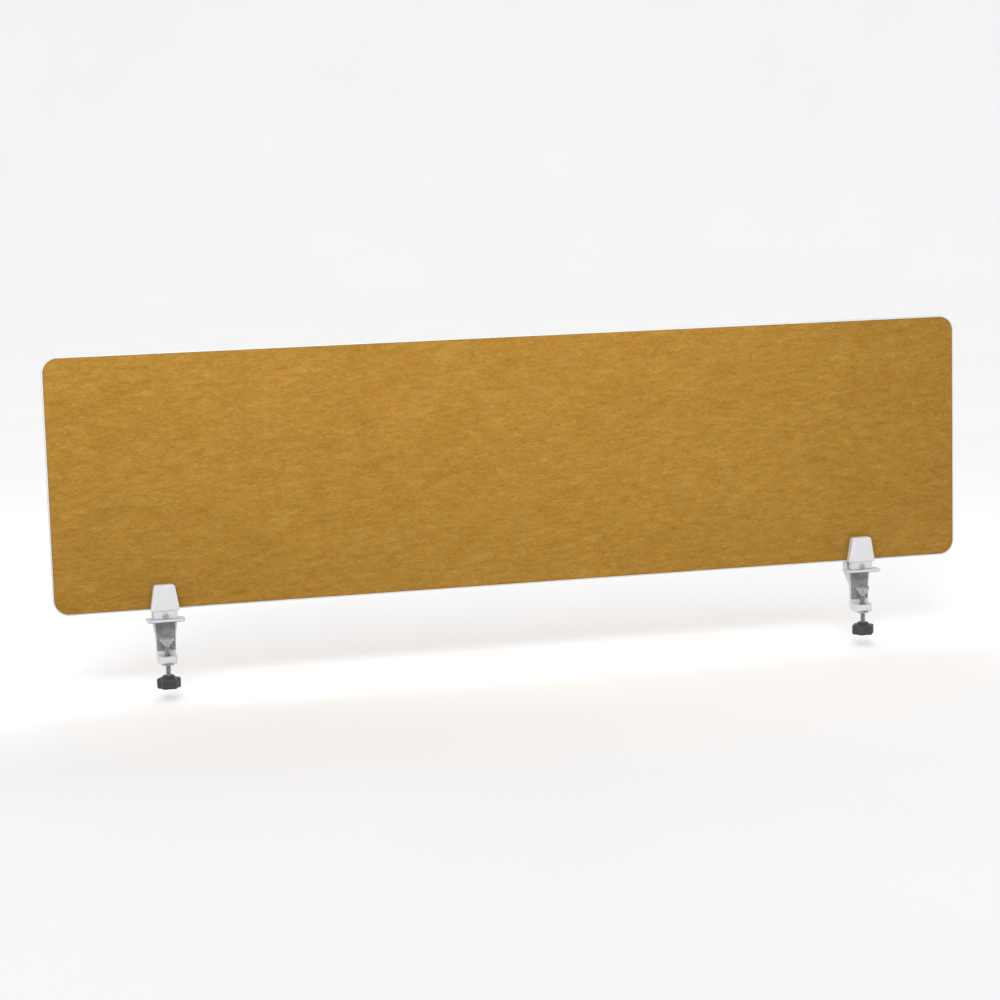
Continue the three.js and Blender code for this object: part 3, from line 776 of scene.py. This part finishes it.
def felt_skin(face, back, seed, sizes):
    """A felt sheet whose outer face is at Y = face and whose glued side is at Y = back."""
    relief, roll = sizes.felt_relief / MM, sizes.felt_roll / MM
    outward = 1 if face > back else -1
    rows = felt_rows(sizes.felt_cell / MM)
    half_length = FELT_HIGH.x
    columns = round(2 * half_length / (sizes.felt_cell / MM))
    bend_start = half_length - FELT_CORNER_COLUMNS
    build = bmesh.new()
    grid = []
    for z, half in rows:
        line = []
        for column in range(columns + 1):
            even = half_length * (2 * column / columns - 1)
            beyond = max(0, abs(even) - bend_start) / (half_length - bend_start)
            distance = min(abs(even), bend_start) + beyond * (half - bend_start)
            x = math.copysign(distance, even)
            side = half_length - abs(x)
            end = min(z - FELT_LOW.z, FELT_HIGH.z - z)
            if side < FELT_CORNER and end < FELT_CORNER:
                rim = FELT_CORNER - math.hypot(FELT_CORNER - side, FELT_CORNER - end)
            else:
                rim = min(side, end)
            turn_back = roll * max(0, 1 - max(rim, 0) / FELT_ROLL_WIDTH) ** 2
            calm = min(1, max(rim, 0) / FELT_ROLL_WIDTH)
            y = face + outward * (relief * calm * felt_height(x, z, seed) - turn_back)
            line.append(build.verts.new((x, y, z)))
        grid.append(line)
    join_rings(build, grid, False)
    border = grid[0][:-1] + [line[-1] for line in grid[:-1]]
    border += grid[-1][:0:-1] + [line[0] for line in grid[:0:-1]]
    glued = [build.verts.new((vert.co.x, back, vert.co.z)) for vert in border]
    join_rings(build, [border, glued])
    build.faces.new(glued)
    return mesh_from(build)


def trim_section(crown):
    """The T-shaped section of the trim, as (depth inward, Y) points."""
    front, rear = TRIM_LOW.y, TRIM_HIGH.y
    band = FELT_LOW.x - TRIM_LOW.x - FIT
    middle = (front + rear) / 2
    rounding = 0.9
    lip = 0.25
    section = [(band, front + lip), (band - lip, front)]
    for step in range(7):
        angle = math.pi / 2 * step / 6
        depth = crown + rounding * (1 - math.sin(angle))
        section.append((depth, front + rounding * (1 - math.cos(angle))))
    crown_steps = 8
    for step in range(1, crown_steps):
        along = step / crown_steps
        y = front + rounding + (rear - front - 2 * rounding) * along
        section.append((crown * (2 * along - 1) ** 2, y))
    mirrored = [(depth, 2 * middle - y) for depth, y in section[:9]]
    section += mirrored[::-1]
    half = TONGUE_HALF
    tongue = [(band, half)]
    for barb in range(3):
        start = band + 1.2 + 1.6 * barb
        tongue += [(start, half), (start, half + TRIM_BARB), (start + 1.1, half)]
    tongue += [(band + TONGUE_DEPTH, half - 0.3)]
    section += [(depth, middle + y) for depth, y in tongue]
    section += [(depth, middle - y) for depth, y in reversed(tongue)]
    return section


def trim_moulding(sizes):
    """The trim swept round the panel, with a butt joint at the middle of the lower edge."""
    outline = rounded_rectangle(TRIM_LOW.x, TRIM_LOW.z, TRIM_HIGH.x, TRIM_HIGH.z, PANEL_CORNER, 24)
    offsets = inward_offsets(outline)
    up = Vector((0, 1))
    half_gap = sizes.trim_gap / MM / 2
    corner_points = 25
    path = outline[corner_points:] + outline[:corner_points]
    steps = offsets[corner_points:] + offsets[:corner_points]
    path = [Vector((half_gap, TRIM_LOW.z)), *path, Vector((-half_gap, TRIM_LOW.z))]
    steps = [up, *steps, up]
    build = bmesh.new()
    rings = []
    for point, step in zip(path, steps):
        ring = []
        for depth, y in trim_section(sizes.trim_crown / MM):
            place = point + step * depth
            ring.append(build.verts.new((place.x, y, place.y)))
        rings.append(ring)
    join_rings(build, rings)
    build.faces.new(rings[0])
    build.faces.new(rings[-1])
    return mesh_from(build)


# ---- Clamp pieces ----


def jaw_plate(front, rear, rounding):
    """The tapered plate that both jaws share."""
    return slab(jaw_outline(0, JAW_BOTTOM), front, rear, (rounding, rounding), ALONG_Y)


def bore_along_y(radius, front, rear, height):
    """A round tool for boring a hole along Y at a height."""
    hole = turned([(0, front), (radius, front), (radius, rear), (0, rear)], 48)
    hole.transform(ALONG_Y)
    hole.flip_normals()
    hole.transform(Matrix.Translation((0, 0, height)))
    return hole


def bore_along_z(radius, bottom, top):
    """A round tool for boring a hole along the clamp screw's axis."""
    hole = turned([(0, bottom), (radius, bottom), (radius, top), (0, top)], 64)
    return on_spindle(hole)


def front_jaw_shape(sizes):
    """The tapered plate with the narrower block below it and the screw's hole through the block."""
    rounding = sizes.edge_rounding / MM
    plate = jaw_plate(JAW_LOW.y, JAW_HIGH.y, rounding)
    block_top = JAW_BOTTOM + 4
    outline = rounded_rectangle(-BLOCK_HALF, JAW_LOW.z, BLOCK_HALF, block_top, 0.8, 4)
    block = slab(outline, JAW_LOW.y + BLOCK_SETBACK, JAW_HIGH.y, (0.6, 0.3), ALONG_Y)
    hole = bore_along_y(JAW_SCREW_RADIUS + FIT, JAW_LOW.y - 1, JAW_HIGH.y + 1, JAW_SCREW_Z)
    solid = shaped(plate, [block], "UNION")
    return cast(shaped(solid, [hole], "DIFFERENCE"), sizes.casting_cell / MM * 0.8, 3)


def spine_outline():
    """The bracket seen from the side: ledge block at the top right, leg, and arm under the desk."""
    inner = 1
    arm_front = SPINDLE_Y - LEG_HALF
    nose = 4
    return rounded_outline([
        (inner, FLANGE_TOP, 0),
        (inner, ARM_TOP, 5),
        (arm_front, ARM_TOP, 1.5),
        (arm_front, ARM_BOTTOM + nose, 3),
        (arm_front + 2 * nose, ARM_BOTTOM, 5),
        (LEG_REAR, ARM_BOTTOM, 9),
        (LEG_REAR, GUSSET_BOTTOM, 12),
        (BRACKET_HIGH.y, GUSSET_TOP, 4),
        (BRACKET_HIGH.y, LEDGE_TOP, 0),
        (LEDGE_FRONT, LEDGE_TOP, 1),
        (LEDGE_FRONT, FLANGE_TOP, 1.5),
    ])[::-1]


def leg_outline():
    """The bracket seen from behind: the leg narrows downwards."""
    return rounded_outline([
        (-LEG_HALF, ARM_BOTTOM, 0),
        (LEG_HALF, ARM_BOTTOM, 0),
        (LEG_HALF, LEG_TAPER_END, 20),
        (BLOCK_HALF, GUSSET_TOP, 20),
        (BLOCK_HALF, LEDGE_TOP, 0),
        (-BLOCK_HALF, LEDGE_TOP, 0),
        (-BLOCK_HALF, GUSSET_TOP, 20),
        (-LEG_HALF, LEG_TAPER_END, 20),
    ])


def arm_outline():
    """The bracket seen from above: the arm ends in a half circle round the clamp screw."""
    half = BLOCK_HALF + 1
    rear = BRACKET_HIGH.y + 1
    points = [Vector((half, rear)), Vector((-half, rear)), Vector((-half, SPINDLE_Y))]
    steps = 32
    for step in range(steps + 1):
        angle = math.pi * (1 + step / steps)
        points.append(Vector((LEG_HALF * math.cos(angle), SPINDLE_Y + LEG_HALF * math.sin(angle))))
    return [*points, Vector((half, SPINDLE_Y))]


def bracket_shape(sizes):
    """The casting in one piece: flange, leg, arm, ledge block and rear jaw."""
    side_view = slab(spine_outline(), -BLOCK_HALF, BLOCK_HALF, (0, 0), ALONG_X)
    rear_view = slab(leg_outline(), SPINDLE_Y - 2 * LEG_HALF, BRACKET_HIGH.y + 1, (0, 0), ALONG_Y)
    top_view = slab(arm_outline(), ARM_BOTTOM - 1, LEDGE_TOP + 1)
    spine = shaped(side_view, [rear_view, top_view], "INTERSECT")
    flange_outline = rounded_rectangle(-FLANGE_HALF, FLANGE_FRONT, FLANGE_HALF, FLANGE_REAR, FLANGE_CORNER)
    flange = slab(flange_outline, SEAT_HIGH.z, FLANGE_TOP, (0.4, 0.6))
    rear_jaw_front = REAR_PAD_HIGH.y + 0.1
    rear_jaw = jaw_plate(rear_jaw_front, BRACKET_HIGH.y, sizes.edge_rounding / MM)
    neck_outline = rounded_rectangle(-BLOCK_HALF, LEDGE_TOP - 2, BLOCK_HALF, JAW_BOTTOM + 4, 0)
    neck = slab(neck_outline, rear_jaw_front, BRACKET_HIGH.y - sizes.edge_rounding / MM, (0, 0), ALONG_Y)
    body = shaped(spine, [flange, rear_jaw, neck], "UNION")
    pocket_outline = rounded_rectangle(-POCKET_HALF, POCKET_BOTTOM, POCKET_HALF, POCKET_TOP, 3)
    pocket = slab(pocket_outline, LEG_REAR - POCKET_DEPTH, BRACKET_HIGH.y, (0, 0), ALONG_Y)
    jaw_bore = bore_along_y(JAW_SCREW_RADIUS + FIT, LEDGE_FRONT - 1, BRACKET_HIGH.y + 1, JAW_SCREW_Z)
    bush_bore = bore_along_z(BUSH_RADIUS + FIT / 2, ARM_BOTTOM - 1, ARM_TOP + 1)
    body = shaped(body, [pocket, jaw_bore, bush_bore], "DIFFERENCE")
    return cast(body, sizes.casting_cell / MM, 3)


def grooved(pad, count, pitch, level, depth, turn, centre, sizes):
    """A pad with straight grooves along X cut into the face at a level."""
    tool = bars(count, pitch, 60, level - depth, level + depth, sizes.pad_groove / MM)
    cutter = mesh_from(tool, turn)
    cutter.transform(Matrix.Translation(centre))
    return shaped(pad, [cutter], "DIFFERENCE")


def jaw_pad_shape(low, high, gripping, sizes):
    """A tapered rubber pad with grooves across the face that grips the panel."""
    pad = slab(jaw_outline(JAW_PAD_INSET, low.z), low.y, high.y, (0.4, 0.4), ALONG_Y)
    centre = (0, 0, (low.z + high.z) / 2)
    return grooved(pad, 7, 4.2, gripping, 0.5, ALONG_Y, centre, sizes)


def seat_pad_shape(sizes):
    """The rubber pad under the flange, grooved where it stands on the desk."""
    half = (SEAT_HIGH.x - SEAT_LOW.x) / 2
    corner = FLANGE_CORNER - SEAT_INSET
    outline = rounded_rectangle(-half, SEAT_LOW.y, half, SEAT_HIGH.y, corner)
    pad = slab(outline, SEAT_LOW.z, SEAT_HIGH.z, (0.25, 0.1))
    centre = (0, (SEAT_LOW.y + SEAT_HIGH.y) / 2, 0)
    return grooved(pad, 5, 3.6, SEAT_LOW.z, 0.3, ALONG_Z, centre, sizes)


def edge_pad_shape(sizes):
    """The rubber pad on the leg, grooved where it meets the desk's rear edge."""
    half = (EDGE_PAD_HIGH.x - EDGE_PAD_LOW.x) / 2
    outline = rounded_rectangle(-half, EDGE_PAD_LOW.z, half, EDGE_PAD_HIGH.z, 2)
    pad = slab(outline, EDGE_PAD_LOW.y, EDGE_PAD_HIGH.y, (0.25, 0.1), ALONG_Y)
    centre = (0, 0, (EDGE_PAD_LOW.z + EDGE_PAD_HIGH.z) / 2)
    return grooved(pad, 10, 4.2, EDGE_PAD_LOW.y, 0.3, ALONG_Y, centre, sizes)


def jaw_screw_shape():
    """A socket-head screw with a rounded head edge, a hexagon socket and a threaded shank."""
    head_low = JAW_SCREW_LOW.y
    head_high = head_low + JAW_HEAD_DEPTH
    radius = (JAW_SCREW_HIGH.z - JAW_SCREW_LOW.z) / 2
    edge = 0.7
    profile = [(0, head_low), *arc(radius - edge, head_low + edge, edge, -90, 0)]
    profile += [(radius, head_high - 0.2), (radius - 0.2, head_high), (0, head_high)]
    head = turned(profile, 64)
    sides = 24
    end = JAW_SCREW_HIGH.y
    shank_build = bmesh.new()
    start = head_high - 0.5
    neck = [(0, start), (JAW_SCREW_RADIUS, start), (JAW_SCREW_RADIUS, head_high + 1)]
    add_turned(shank_build, neck, sides)
    add_thread(shank_build, JAW_SCREW_RADIUS, JAW_SCREW_PITCH, head_high + 1, end - 0.7, sides)
    tip = JAW_SCREW_RADIUS - 0.6
    add_turned(shank_build, [(JAW_SCREW_RADIUS, end - 0.7), (tip, end), (0, end)], sides)
    shank = mesh_from(shank_build)
    above, floor = head_low - 1, head_low + SOCKET_DEPTH
    hexagon = turned([(0, above), (SOCKET_RADIUS, above), (SOCKET_RADIUS, floor), (0, floor + 0.5)], 6)
    screw = shaped(shaped(head, [shank], "UNION"), [hexagon], "DIFFERENCE")
    screw.transform(LAID_ALONG_Y)
    screw.transform(Matrix.Translation((0, 0, JAW_SCREW_Z)))
    return screw


def clamp_screw_shape():
    """The threaded spindle, with the clip's groove near its tip and a plain end in the knob."""
    sides = 32
    radius = SPINDLE_RADIUS
    low, high = SPINDLE_LOW.z, SPINDLE_HIGH.z
    thread_low, thread_high = SPINDLE_THREAD
    groove_low, groove_high = CLIP_LOW.z - FIT / 2, CLIP_HIGH.z + FIT / 2
    build = bmesh.new()
    add_turned(build, [(0, low), (radius - 0.5, low), (radius, low + 0.5), (radius, thread_low)], sides)
    add_thread(build, radius, SPINDLE_PITCH, thread_low, thread_high, sides)
    tip = [
        (radius, thread_high),
        (radius, groove_low - 0.2),
        (radius - 0.2, groove_low),
        (CLIP_GROOVE_RADIUS, groove_low),
        (CLIP_GROOVE_RADIUS, groove_high),
        (radius - 0.2, groove_high),
        (radius, groove_high + 0.2),
        (radius, high - SPINDLE_CHAMFER),
        (radius - SPINDLE_CHAMFER, high),
        (0, high),
    ]
    add_turned(build, tip, sides)
    screw = mesh_from(build)
    return on_spindle(screw)


def on_spindle(mesh):
    """Moves a piece made on the Z axis to the clamp screw's axis."""
    mesh.transform(Matrix.Translation((0, SPINDLE_Y, 0)))
    return mesh


def bush_shape():
    """The flanged bush in the arm, with its edges broken."""
    bore = SPINDLE_RADIUS + FIT
    flange = (BUSH_HIGH.x - BUSH_LOW.x) / 2
    low, high = BUSH_LOW.z, BUSH_HIGH.z
    profile = [
        (bore, low + 0.6),
        (bore + 0.6, low),
        (flange - 0.8, low),
        *arc(flange - 0.8, low + 0.8, 0.8, -90, 0, 4),
        (flange, ARM_BOTTOM - 0.3),
        (flange - 0.2, ARM_BOTTOM),
        (BUSH_RADIUS, ARM_BOTTOM),
        (BUSH_RADIUS, high - 0.4),
        (BUSH_RADIUS - 0.4, high),
        (bore + 0.6, high),
        (bore, high - 0.6),
        (bore, low + 0.6),
    ]
    return on_spindle(turned(profile, 72))


def clip_shape():
    """An E-shaped spring clip: three lugs reach into the groove and its mouth is open."""
    outer = (CLIP_HIGH.y - CLIP_LOW.y) / 2
    lug = CLIP_GROOVE_RADIUS + FIT / 2
    relief = lug + 1.1
    mouth = math.radians(30)
    steps = 72
    outline = []
    for step in range(steps + 1):
        angle = mouth + (2 * math.pi - 2 * mouth) * step / steps
        outline.append(Vector((outer * math.cos(angle), outer * math.sin(angle))))
    for step in range(steps, -1, -1):
        along = step / steps
        angle = mouth + (2 * math.pi - 2 * mouth) * along
        nearest = min(abs(along - spot) for spot in (0.0, 0.5, 1.0))
        rise = min(1, max(0, (nearest - 0.09) / 0.05))
        inner = lug + (relief - lug) * rise * rise * (3 - 2 * rise)
        outline.append(Vector((inner * math.cos(angle), inner * math.sin(angle))))
    return on_spindle(slab(outline, CLIP_LOW.z, CLIP_HIGH.z, (0.12, 0.12), steps=2))


def foot_shape():
    """The round foot: a dished disc with a boss that swivels on the screw's tip."""
    socket = SPINDLE_RADIUS + FIT
    radius = (FOOT_HIGH.x - FOOT_LOW.x) / 2
    top, bottom = FOOT_HIGH.z, FOOT_LOW.z
    disc_low = top - FOOT_DISC_DEPTH
    fillet = 1.5
    profile = [
        (0, top - FOOT_ROOF),
        (socket, top - FOOT_ROOF),
        (socket, bottom + 0.5),
        (socket + 0.5, bottom),
        (FOOT_BOSS_RADIUS - 0.6, bottom),
        *arc(FOOT_BOSS_RADIUS - 0.6, bottom + 0.6, 0.6, -90, 0, 4),
        *arc(FOOT_BOSS_RADIUS + fillet, disc_low - fillet, fillet, 180, 90, 6),
        (radius - 1, disc_low),
        *arc(radius - 1, disc_low + 1, 1, -90, 0, 5),
        (radius, top - 0.3),
        (radius - 0.3, top),
        (0, top),
    ]
    return on_spindle(turned(profile, 96))


def foot_pad_shape():
    """The rubber disc on the foot, with two ring grooves in the face that grips the desk."""
    radius = (FOOT_PAD_HIGH.x - FOOT_PAD_LOW.x) / 2
    low, high = FOOT_PAD_LOW.z, FOOT_PAD_HIGH.z
    profile = [(0, low), (radius, low), (radius, high - 0.4), *arc(radius - 0.4, high - 0.4, 0.4, 0, 90, 4)]
    floor = high - RING_GROOVE_DEPTH
    for middle in RING_GROOVES:
        steps = ((0.6, high), (0.35, floor), (-0.35, floor), (-0.6, high))
        profile += [(middle + out, level) for out, level in steps]
    profile += [(2.4, high), (2.0, floor), (0, floor)]
    return on_spindle(turned(profile, 96))


def knob_shape(sizes):
    """The lobed grip with its hub, the screw's hole and the recess for the cap."""
    lobes, depth = sizes.knob_lobes, sizes.knob_lobe_depth / MM
    reach = (KNOB_HIGH.x - KNOB_LOW.x) / 2 - depth
    grip_top = KNOB_HIGH.z - KNOB_HUB_HEIGHT
    steps = 20 * lobes
    outline = []
    for step in range(steps):
        angle = 2 * math.pi * step / steps
        radius = reach + depth * math.cos(lobes * angle)
        outline.append(radius * Vector((math.cos(angle), math.sin(angle))))
    grip = on_spindle(slab(outline, KNOB_LOW.z, grip_top, (2.2, 2.6), steps=8))
    top = KNOB_HIGH.z
    hub_profile = [
        (0, grip_top - 3),
        (KNOB_HUB_RADIUS + 1.6, grip_top - 3),
        (KNOB_HUB_RADIUS + 1.6, grip_top),
        *arc(KNOB_HUB_RADIUS + 1.6, grip_top + 1.6, 1.6, -90, -180, 6),
        (KNOB_HUB_RADIUS, top - 1),
        *arc(KNOB_HUB_RADIUS - 1, top - 1, 1, 0, 90, 5),
        (0, top),
    ]
    hub = on_spindle(turned(hub_profile, 64))
    screw_hole = bore_along_z(SPINDLE_RADIUS + FIT / 2, SPINDLE_LOW.z - FIT, top + 1)
    cap_hole = bore_along_z((CAP_HIGH.x - CAP_LOW.x) / 2 + FIT, CAP_LOW.z - 2, CAP_HIGH.z + FIT)
    knob = shaped(shaped(grip, [hub], "UNION"), [screw_hole, cap_hole], "DIFFERENCE")
    return cast(knob, sizes.casting_cell / MM * 0.75, 2)


def knob_cap_shape():
    """The crowned plug in the knob's underside, with a small sunk dot in its middle."""
    radius = (CAP_HIGH.x - CAP_LOW.x) / 2
    low, high = CAP_LOW.z, CAP_HIGH.z
    rim_level = low + 0.8
    profile = [(0, low + 0.25), (0.7, low + 0.25), (0.95, low + 0.05)]
    crown_steps = 10
    for step in range(2, crown_steps):
        out = step / crown_steps
        profile.append(((radius - 0.3) * out, low + 0.75 * out * out))
    profile += [(radius - 0.3, rim_level), (radius, rim_level + 0.3), (radius, high), (0, high)]
    return on_spindle(turned(profile, 64))


# ---- Operators ----


class DESKPANEL_OT_felt(bpy.types.Operator):
    """Builds the felt skins on both faces of the panel"""

    bl_idname = "desk_panel.felt"
    bl_label = "Felt Skins"

    def execute(self, context):
        sizes = context.scene.panel_sizes
        felt = felt_finish(context.scene.panel_colours.felt)
        faces = {
            "front": (FELT_LOW.y, FELT_HIGH.y, 3.0),
            "rear": (REAR_FELT_HIGH.y, REAR_FELT_LOW.y, 41.0),
        }
        for name, (face, back, seed) in faces.items():
            mesh = felt_skin(face, back, seed, sizes)
            skin = place_piece(f"{name}_felt_skin", mesh, 0, ROOT_BODY, felt, [f"{name}_felt"])
        return {"FINISHED"}


class DESKPANEL_OT_board(bpy.types.Operator):
    """Finishes the board inside the panel"""

    bl_idname = "desk_panel.board"
    bl_label = "Inner Board"

    def execute(self, context):
        board = board_finish(context.scene.panel_colours.board)
        for slot in frame["nodes"]["panel_core"].material_slots:
            slot.material = board
        return {"FINISHED"}


class DESKPANEL_OT_trim(bpy.types.Operator):
    """Builds the moulding round the panel's edge"""

    bl_idname = "desk_panel.trim"
    bl_label = "Edge Trim"

    def execute(self, context):
        trim = trim_finish(context.scene.panel_colours.trim)
        mesh = trim_moulding(context.scene.panel_sizes)
        place_piece("edge_trim_moulding", mesh, 0, ROOT_BODY, trim, ["edge_trim"])
        return {"FINISHED"}


class DESKPANEL_OT_castings(bpy.types.Operator):
    """Builds the brackets and the front jaws"""

    bl_idname = "desk_panel.castings"
    bl_label = "Brackets and Jaws"

    def execute(self, context):
        sizes = context.scene.clamp_sizes
        paint = powder_coat_finish(context.scene.panel_colours.paint)
        place_on_clamps("bracket", bracket_shape(sizes), ROOT_BODY, paint)
        place_on_clamps("front_jaw", front_jaw_shape(sizes), "{side}_jaw", paint)
        return {"FINISHED"}


class DESKPANEL_OT_pads(bpy.types.Operator):
    """Builds the rubber pads on the jaws, flanges, legs and feet"""

    bl_idname = "desk_panel.pads"
    bl_label = "Rubber Pads"

    def execute(self, context):
        sizes = context.scene.clamp_sizes
        rubber = rubber_finish(context.scene.panel_colours.rubber)
        front_pad = jaw_pad_shape(FRONT_PAD_LOW, FRONT_PAD_HIGH, FRONT_PAD_HIGH.y, sizes)
        rear_pad = jaw_pad_shape(REAR_PAD_LOW, REAR_PAD_HIGH, REAR_PAD_LOW.y, sizes)
        pads = (
            ("front_jaw_pad", front_pad, "{side}_jaw"),
            ("rear_jaw_pad", rear_pad, ROOT_BODY),
            ("seat_pad", seat_pad_shape(sizes), ROOT_BODY),
            ("edge_pad", edge_pad_shape(sizes), ROOT_BODY),
            ("foot_pad", foot_pad_shape(), "{side}_foot_carriage"),
        )
        for name, mesh, body in pads:
            place_on_clamps(name, mesh, body, rubber)
        return {"FINISHED"}


class DESKPANEL_OT_screws(bpy.types.Operator):
    """Builds the screws with their bushes, clips and feet"""

    bl_idname = "desk_panel.screws"
    bl_label = "Screws and Feet"

    def execute(self, context):
        zinc = zinc_finish(context.scene.panel_colours.zinc)
        fittings = (
            ("jaw_screw", jaw_screw_shape(), "{side}_jaw_spindle"),
            ("clamp_screw", clamp_screw_shape(), "{side}_clamp_spindle"),
            ("clamp_bush", bush_shape(), ROOT_BODY),
            ("retaining_clip", clip_shape(), "{side}_clamp_spindle"),
            ("pressure_foot", foot_shape(), "{side}_foot_carriage"),
        )
        for name, mesh, body in fittings:
            place_on_clamps(name, mesh, body, zinc)
        return {"FINISHED"}


class DESKPANEL_OT_knobs(bpy.types.Operator):
    """Builds the knobs and their caps"""

    bl_idname = "desk_panel.knobs"
    bl_label = "Knobs"

    def execute(self, context):
        plastic = knob_finish(context.scene.panel_colours.knob)
        knob = knob_shape(context.scene.clamp_sizes)
        place_on_clamps("knob", knob, "{side}_clamp_spindle", plastic)
        place_on_clamps("knob_cap", knob_cap_shape(), "{side}_clamp_spindle", plastic)
        return {"FINISHED"}


def add_light(name, place, aim, power, spread):
    """A wide soft light panel at a place, facing the aim, its light kept within an angle."""
    lamp = bpy.data.lights.new(name, "AREA")
    lamp.shape = "RECTANGLE"
    lamp.size = LIGHT_WIDTH
    lamp.size_y = LIGHT_HEIGHT
    lamp.energy = power
    lamp.spread = math.radians(spread)
    light = bpy.data.objects.new(name, lamp)
    light.location = place
    light.rotation_euler = (Vector(aim) - Vector(place)).to_track_quat("-Z", "Y").to_euler()
    bpy.context.collection.objects.link(light)


class DESKPANEL_OT_studio(bpy.types.Operator):
    """Sets out the floor, the soft lights and the camera"""

    bl_idname = "desk_panel.studio"
    bl_label = "Studio"

    def execute(self, context):
        studio = context.scene.panel_studio
        low, high = (Vector(corner) for corner in CAD_BOX)
        middle = (low + high) / 2
        cove = arc(FLAT_FLOOR_RADIUS, COVE_RADIUS, COVE_RADIUS, -90, 0, 16)
        wall = (FLAT_FLOOR_RADIUS + COVE_RADIUS, WALL_TOP)
        build = bmesh.new()
        add_turned(build, [(0, 0), (FLAT_FLOOR_RADIUS, 0), *cove[1:], wall], 96)
        mesh = mesh_from(build)
        mesh.flip_normals()
        mesh.polygons.foreach_set("use_smooth", [True] * len(mesh.polygons))
        mesh.materials.append(floor_finish(context.scene.panel_colours.floor))
        floor = bpy.data.objects.new("studio_floor", mesh)
        floor.location = (middle.x, middle.y, low.z - FLOOR_DROP * MM)
        context.collection.objects.link(floor)
        add_light("key_light", middle + KEY_PLACE, middle + KEY_AIM, studio.key_power, KEY_SPREAD)
        add_light("back_light", middle + BACK_PLACE, middle, studio.back_power, BACK_SPREAD)
        world = bpy.data.worlds.new("room")
        world.use_nodes = True
        background = world.node_tree.nodes["Background"]
        background.inputs["Color"].default_value = (1, 1, 1, 1)
        background.inputs["Strength"].default_value = studio.sky
        context.scene.world = world
        context.scene.view_settings.view_transform = "Standard"
        camera_data = bpy.data.cameras.new("camera")
        camera_data.lens = studio.lens
        camera_data.sensor_width = 36
        camera_data.clip_end = 200
        camera = bpy.data.objects.new("camera", camera_data)
        sideways = Vector((studio.aim, 0, 0))
        look = Vector((
            math.sin(studio.turn) * math.cos(studio.height),
            math.cos(studio.turn) * math.cos(studio.height),
            -math.sin(studio.height),
        ))
        camera.location = middle + sideways - look * studio.distance
        lean = Matrix.Rotation(-studio.roll, 4, "Z")
        camera.rotation_euler = (look.to_track_quat("-Z", "Y").to_matrix().to_4x4() @ lean).to_euler()
        context.collection.objects.link(camera)
        context.scene.camera = camera
        return {"FINISHED"}


class DESKPANEL_PT_sidebar(bpy.types.Panel):
    """Lists the sizes, colours and building steps"""

    bl_label = "Desk Privacy Panel"
    bl_space_type = "VIEW_3D"
    bl_region_type = "UI"
    bl_category = "Desk Panel"

    def draw(self, context):
        for owner in OPERATORS:
            self.layout.operator(owner.bl_idname)
        for name in SETTINGS:
            group = getattr(context.scene, name)
            column = self.layout.column()
            for field in group.__annotations__:
                column.prop(group, field)


SETTINGS = {
    "panel_sizes": PanelSizes,
    "clamp_sizes": ClampSizes,
    "panel_colours": Colours,
    "panel_studio": Studio,
}
OPERATORS = (
    DESKPANEL_OT_studio,
    DESKPANEL_OT_board,
    DESKPANEL_OT_felt,
    DESKPANEL_OT_trim,
    DESKPANEL_OT_castings,
    DESKPANEL_OT_pads,
    DESKPANEL_OT_screws,
    DESKPANEL_OT_knobs,
)


def register():
    for owner in (*SETTINGS.values(), *OPERATORS, DESKPANEL_PT_sidebar):
        bpy.utils.register_class(owner)
    for name, owner in SETTINGS.items():
        setattr(bpy.types.Scene, name, PointerProperty(type=owner))


def unregister():
    for name in SETTINGS:
        delattr(bpy.types.Scene, name)
    for owner in (DESKPANEL_PT_sidebar, *reversed(OPERATORS), *reversed(SETTINGS.values())):
        bpy.utils.unregister_class(owner)


def main():
    register()
    for owner in OPERATORS:
        group, name = owner.bl_idname.split(".")
        getattr(getattr(bpy.ops, group), name)()


if __name__ == "__main__":
    main()
